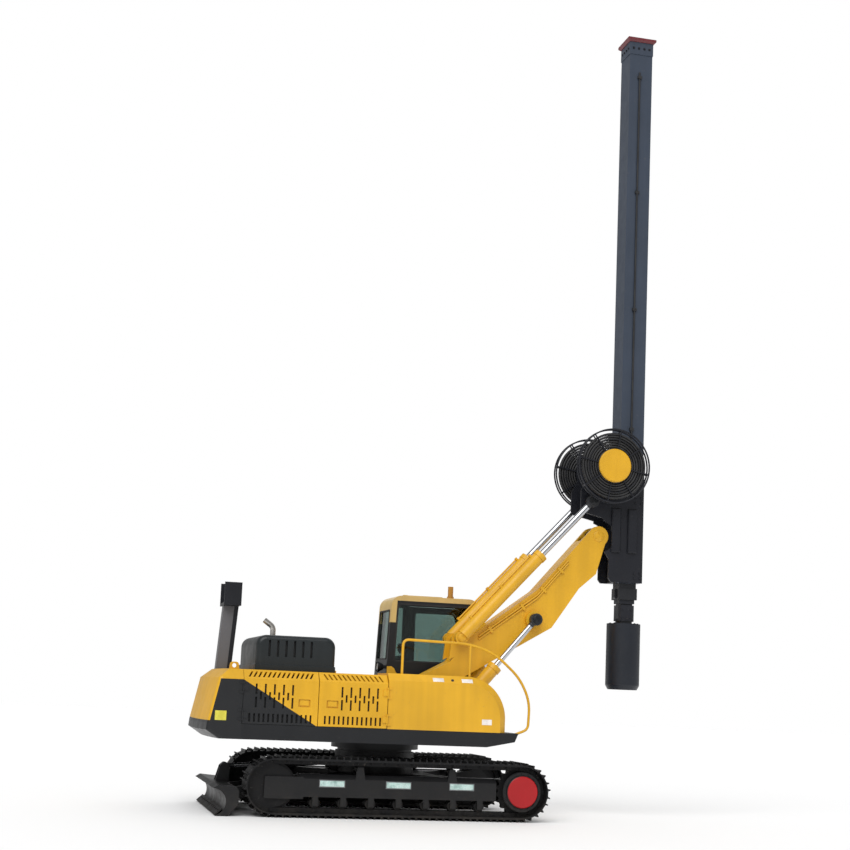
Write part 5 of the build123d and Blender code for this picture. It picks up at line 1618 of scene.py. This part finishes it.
@dataclass
class BladeEdge(SubAssembly):
    """The bolted cutting edge along the foot of the blade."""

    low: Pair = (-2.352, 0.012)
    high: Pair = (-2.262, 0.092)
    half_width: float = 1.245
    thick: float = 0.016
    bolt_pitch: float = 0.19
    bolt_up: float = 0.62
    bolt: Pair = (0.014, 0.008)

    def build(self) -> None:
        """Make the edge and its bolts."""
        edge, bolts = Shape(), Shape()
        low, high = self.at(self.low[0], 0, self.low[1]), self.at(self.high[0], 0, self.high[1])
        along = (high - low).normalized()
        out = Vector((-along.z, 0, along.x))
        plane = Matrix((Y_AXIS, along, out)).transposed().to_4x4()
        plane.translation = low
        long, half = (high - low).length, self.half_width
        edge.plate(((-half, 0.0), (half, 0.0), (half, long), (-half, long)), plane, self.thick)
        self.add(edge, "cutting_edge", "blade", Finish.TRACK)
        count = int(2 * half / self.bolt_pitch)
        for number in range(count):
            y = (number - (count - 1) / 2) * self.bolt_pitch
            seat = low + along * long * self.bolt_up + out * self.thick + Y_AXIS * y
            bolts.bolts([seat], out, *self.bolt)
        self.add(bolts, "edge_bolts", "blade", Finish.TRACK)


class Studio:
    """The pale floor, the soft light and the camera at the photograph's angle."""

    camera_place: Point = (-4.58, -21.22, 1.69)
    yaw_deg: float = 13.7
    pitch_deg: float = 7.36
    roll_deg: float = 2.36
    focal_px: float = 1500.0
    frame_px: float = 850.0
    shift_px: float = 75.0
    sensor_mm: float = 36.0
    far_m: float = 200.0
    floor_half: float = 80.0
    floor_grey: float = 0.9
    sky_light: float = 0.62
    sky_shine: float = 0.34
    lamps: tuple[tuple[str, float, float, float, float], ...] = (
        ("key", 1.9, 50, 42, -28), ("fill", 0.5, 70, 55, 150))

    def __init__(self, slew_x: float) -> None:
        """Keep where the slew axis stands along X."""
        self.slew_x = slew_x

    def camera(self) -> None:
        """The camera, low and tipped up, with its frame a little shifted to keep the mast upright."""
        lens = bpy.data.cameras.new("camera")
        lens.sensor_width = self.sensor_mm
        lens.lens = lens.sensor_width * self.focal_px / self.frame_px
        lens.shift_y = self.shift_px / self.frame_px
        lens.clip_end = self.far_m
        camera = bpy.data.objects.new("camera", lens)
        x, y, z = self.camera_place
        turn = (Matrix.Rotation(-math.radians(self.yaw_deg), 4, "Z")
                @ Matrix.Rotation(math.radians(90 + self.pitch_deg), 4, "X")
                @ Matrix.Rotation(math.radians(self.roll_deg), 4, "Z"))
        camera.matrix_world = Matrix.Translation((x + self.slew_x, y, z)) @ turn
        bpy.context.scene.collection.objects.link(camera)
        bpy.context.scene.camera = camera

    def floor(self) -> None:
        """A wide pale floor that takes the rig's shadow."""
        bm = bmesh.new()
        bmesh.ops.create_grid(bm, x_segments=1, y_segments=1, size=self.floor_half)
        mesh = bpy.data.meshes.new("floor")
        bm.to_mesh(mesh)
        bm.free()
        floor = bpy.data.objects.new("floor", mesh)
        bpy.context.scene.collection.objects.link(floor)
        material, _, shader = new_material("floor_white")
        shader.inputs["Base Color"].default_value = solid((self.floor_grey,) * 3)
        shader.inputs["Roughness"].default_value = 0.9
        mesh.materials.append(material)

    def light(self) -> None:
        """A pale sky all round and two broad lamps."""
        scene = bpy.context.scene
        scene.view_settings.view_transform = "Standard"
        world = bpy.data.worlds.new("sky")
        world.use_nodes = True
        scene.world = world
        writer = NodeWriter(world.node_tree)
        background = world.node_tree.nodes["Background"]
        path = writer.add("ShaderNodeLightPath")
        seen = writer.math("MAXIMUM", path.outputs["Is Camera Ray"], path.outputs["Is Transmission Ray"])
        background.inputs["Color"].default_value = (1.0, 1.0, 1.0, 1)
        sky = writer.ramp(seen, 0.0, 1.0, self.sky_light, 1.0)
        dimmed = writer.math("MULTIPLY", path.outputs["Is Glossy Ray"], self.sky_light - self.sky_shine)
        writer.feed(background.inputs["Strength"], writer.math("SUBTRACT", sky, dimmed))
        for name, strength, spread, pitch, yaw in self.lamps:
            lamp = bpy.data.lights.new(name, "SUN")
            lamp.energy = strength
            lamp.angle = math.radians(spread)
            thing = bpy.data.objects.new(name, lamp)
            thing.rotation_euler = (math.radians(pitch), 0, math.radians(yaw))
            scene.collection.objects.link(thing)


NODE_FINISHES: dict[Finish, tuple[str, ...]] = {
    Finish.YELLOW: ("front_box", "house", "handrail", "boom", "boom_pipes", "lift_barrels", "tilt_barrels",
                    "reel_cover_left", "reel_cover_right", "lifting_eyes"),
    Finish.ROOF: ("cab_roof",),
    Finish.TAIL: ("counterweight", "door_left_rear", "door_right_rear", "door_right_front"),
    Finish.BLACK: ("revolving_frame", "engine_block"),
    Finish.HOOD: ("hood",),
    Finish.CAB: ("cab_shell", "cab_door"),
    Finish.MAST: ("outer_mast",),
    Finish.BRACKET: ("mast_bracket", "reel_left", "reel_right", "power_head", "middle_mast", "inner_mast"),
    Finish.DRILL: ("drill_barrel",),
    Finish.RED: ("drive_covers",),
    Finish.CAP: ("mast_cap",),
    Finish.REST: ("mast_rest",),
    Finish.TRACK: ("track_left", "track_right", "track_rollers", "idlers", "sprockets"),
    Finish.FRAME: ("track_frames", "car_body", "tow_eye", "blade", "blade_ram_barrel"),
    Finish.CHROME: ("lift_rods", "tilt_rods", "blade_ram_rod"),
    Finish.EXHAUST: ("exhaust",),
    Finish.HOSE: ("reel_hose_left", "reel_hose_right", "mast_hose"),
    Finish.GLASS: ("cab_glass", "cab_door_glass"),
    Finish.SEAT: ("operator_seat",),
    Finish.PLASTIC: ("cab_console",),
    Finish.AMBER: ("beacon",),
}


GROUPS: tuple[type[SubAssembly], ...] = (TrackChains, TrackFrames, BladeEdge, House, Handrail, Cab,
                                         CabInside, BoomPins, HoseReels, MastBolts)


def dress_solids(nodes: dict[str, bpy.types.Object], finishes: Finishes) -> None:
    """Give each solid of the frame its finish.

    Args:
        nodes: The frame's objects by name.
        finishes: The finishes.
    """
    for finish, names in NODE_FINISHES.items():
        for name in names:
            finishes.dress(nodes[name], finish)
    bare = set(nodes) - {name for names in NODE_FINISHES.values() for name in names}
    if bare:
        LOG.warning("no finish for %s", sorted(bare))


def main() -> None:
    """Load the frame, set up the studio, dress the solids and build every group of pieces."""
    logging.basicConfig(level=logging.INFO, format="%(message)s")
    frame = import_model()
    slew_x = next(joint for joint in frame["joints"] if joint["name"] == "slew")["pos_m"][0]
    studio = Studio(slew_x)
    studio.camera()
    studio.floor()
    studio.light()
    finishes = Finishes(slew_x)
    dress_solids(frame["nodes"], finishes)
    for group in GROUPS:
        made = group(finishes, slew_x)
        made.build()
        LOG.info("%s: %s", group.__name__, ", ".join(made.pieces))


if __name__ == "__main__":
    main()
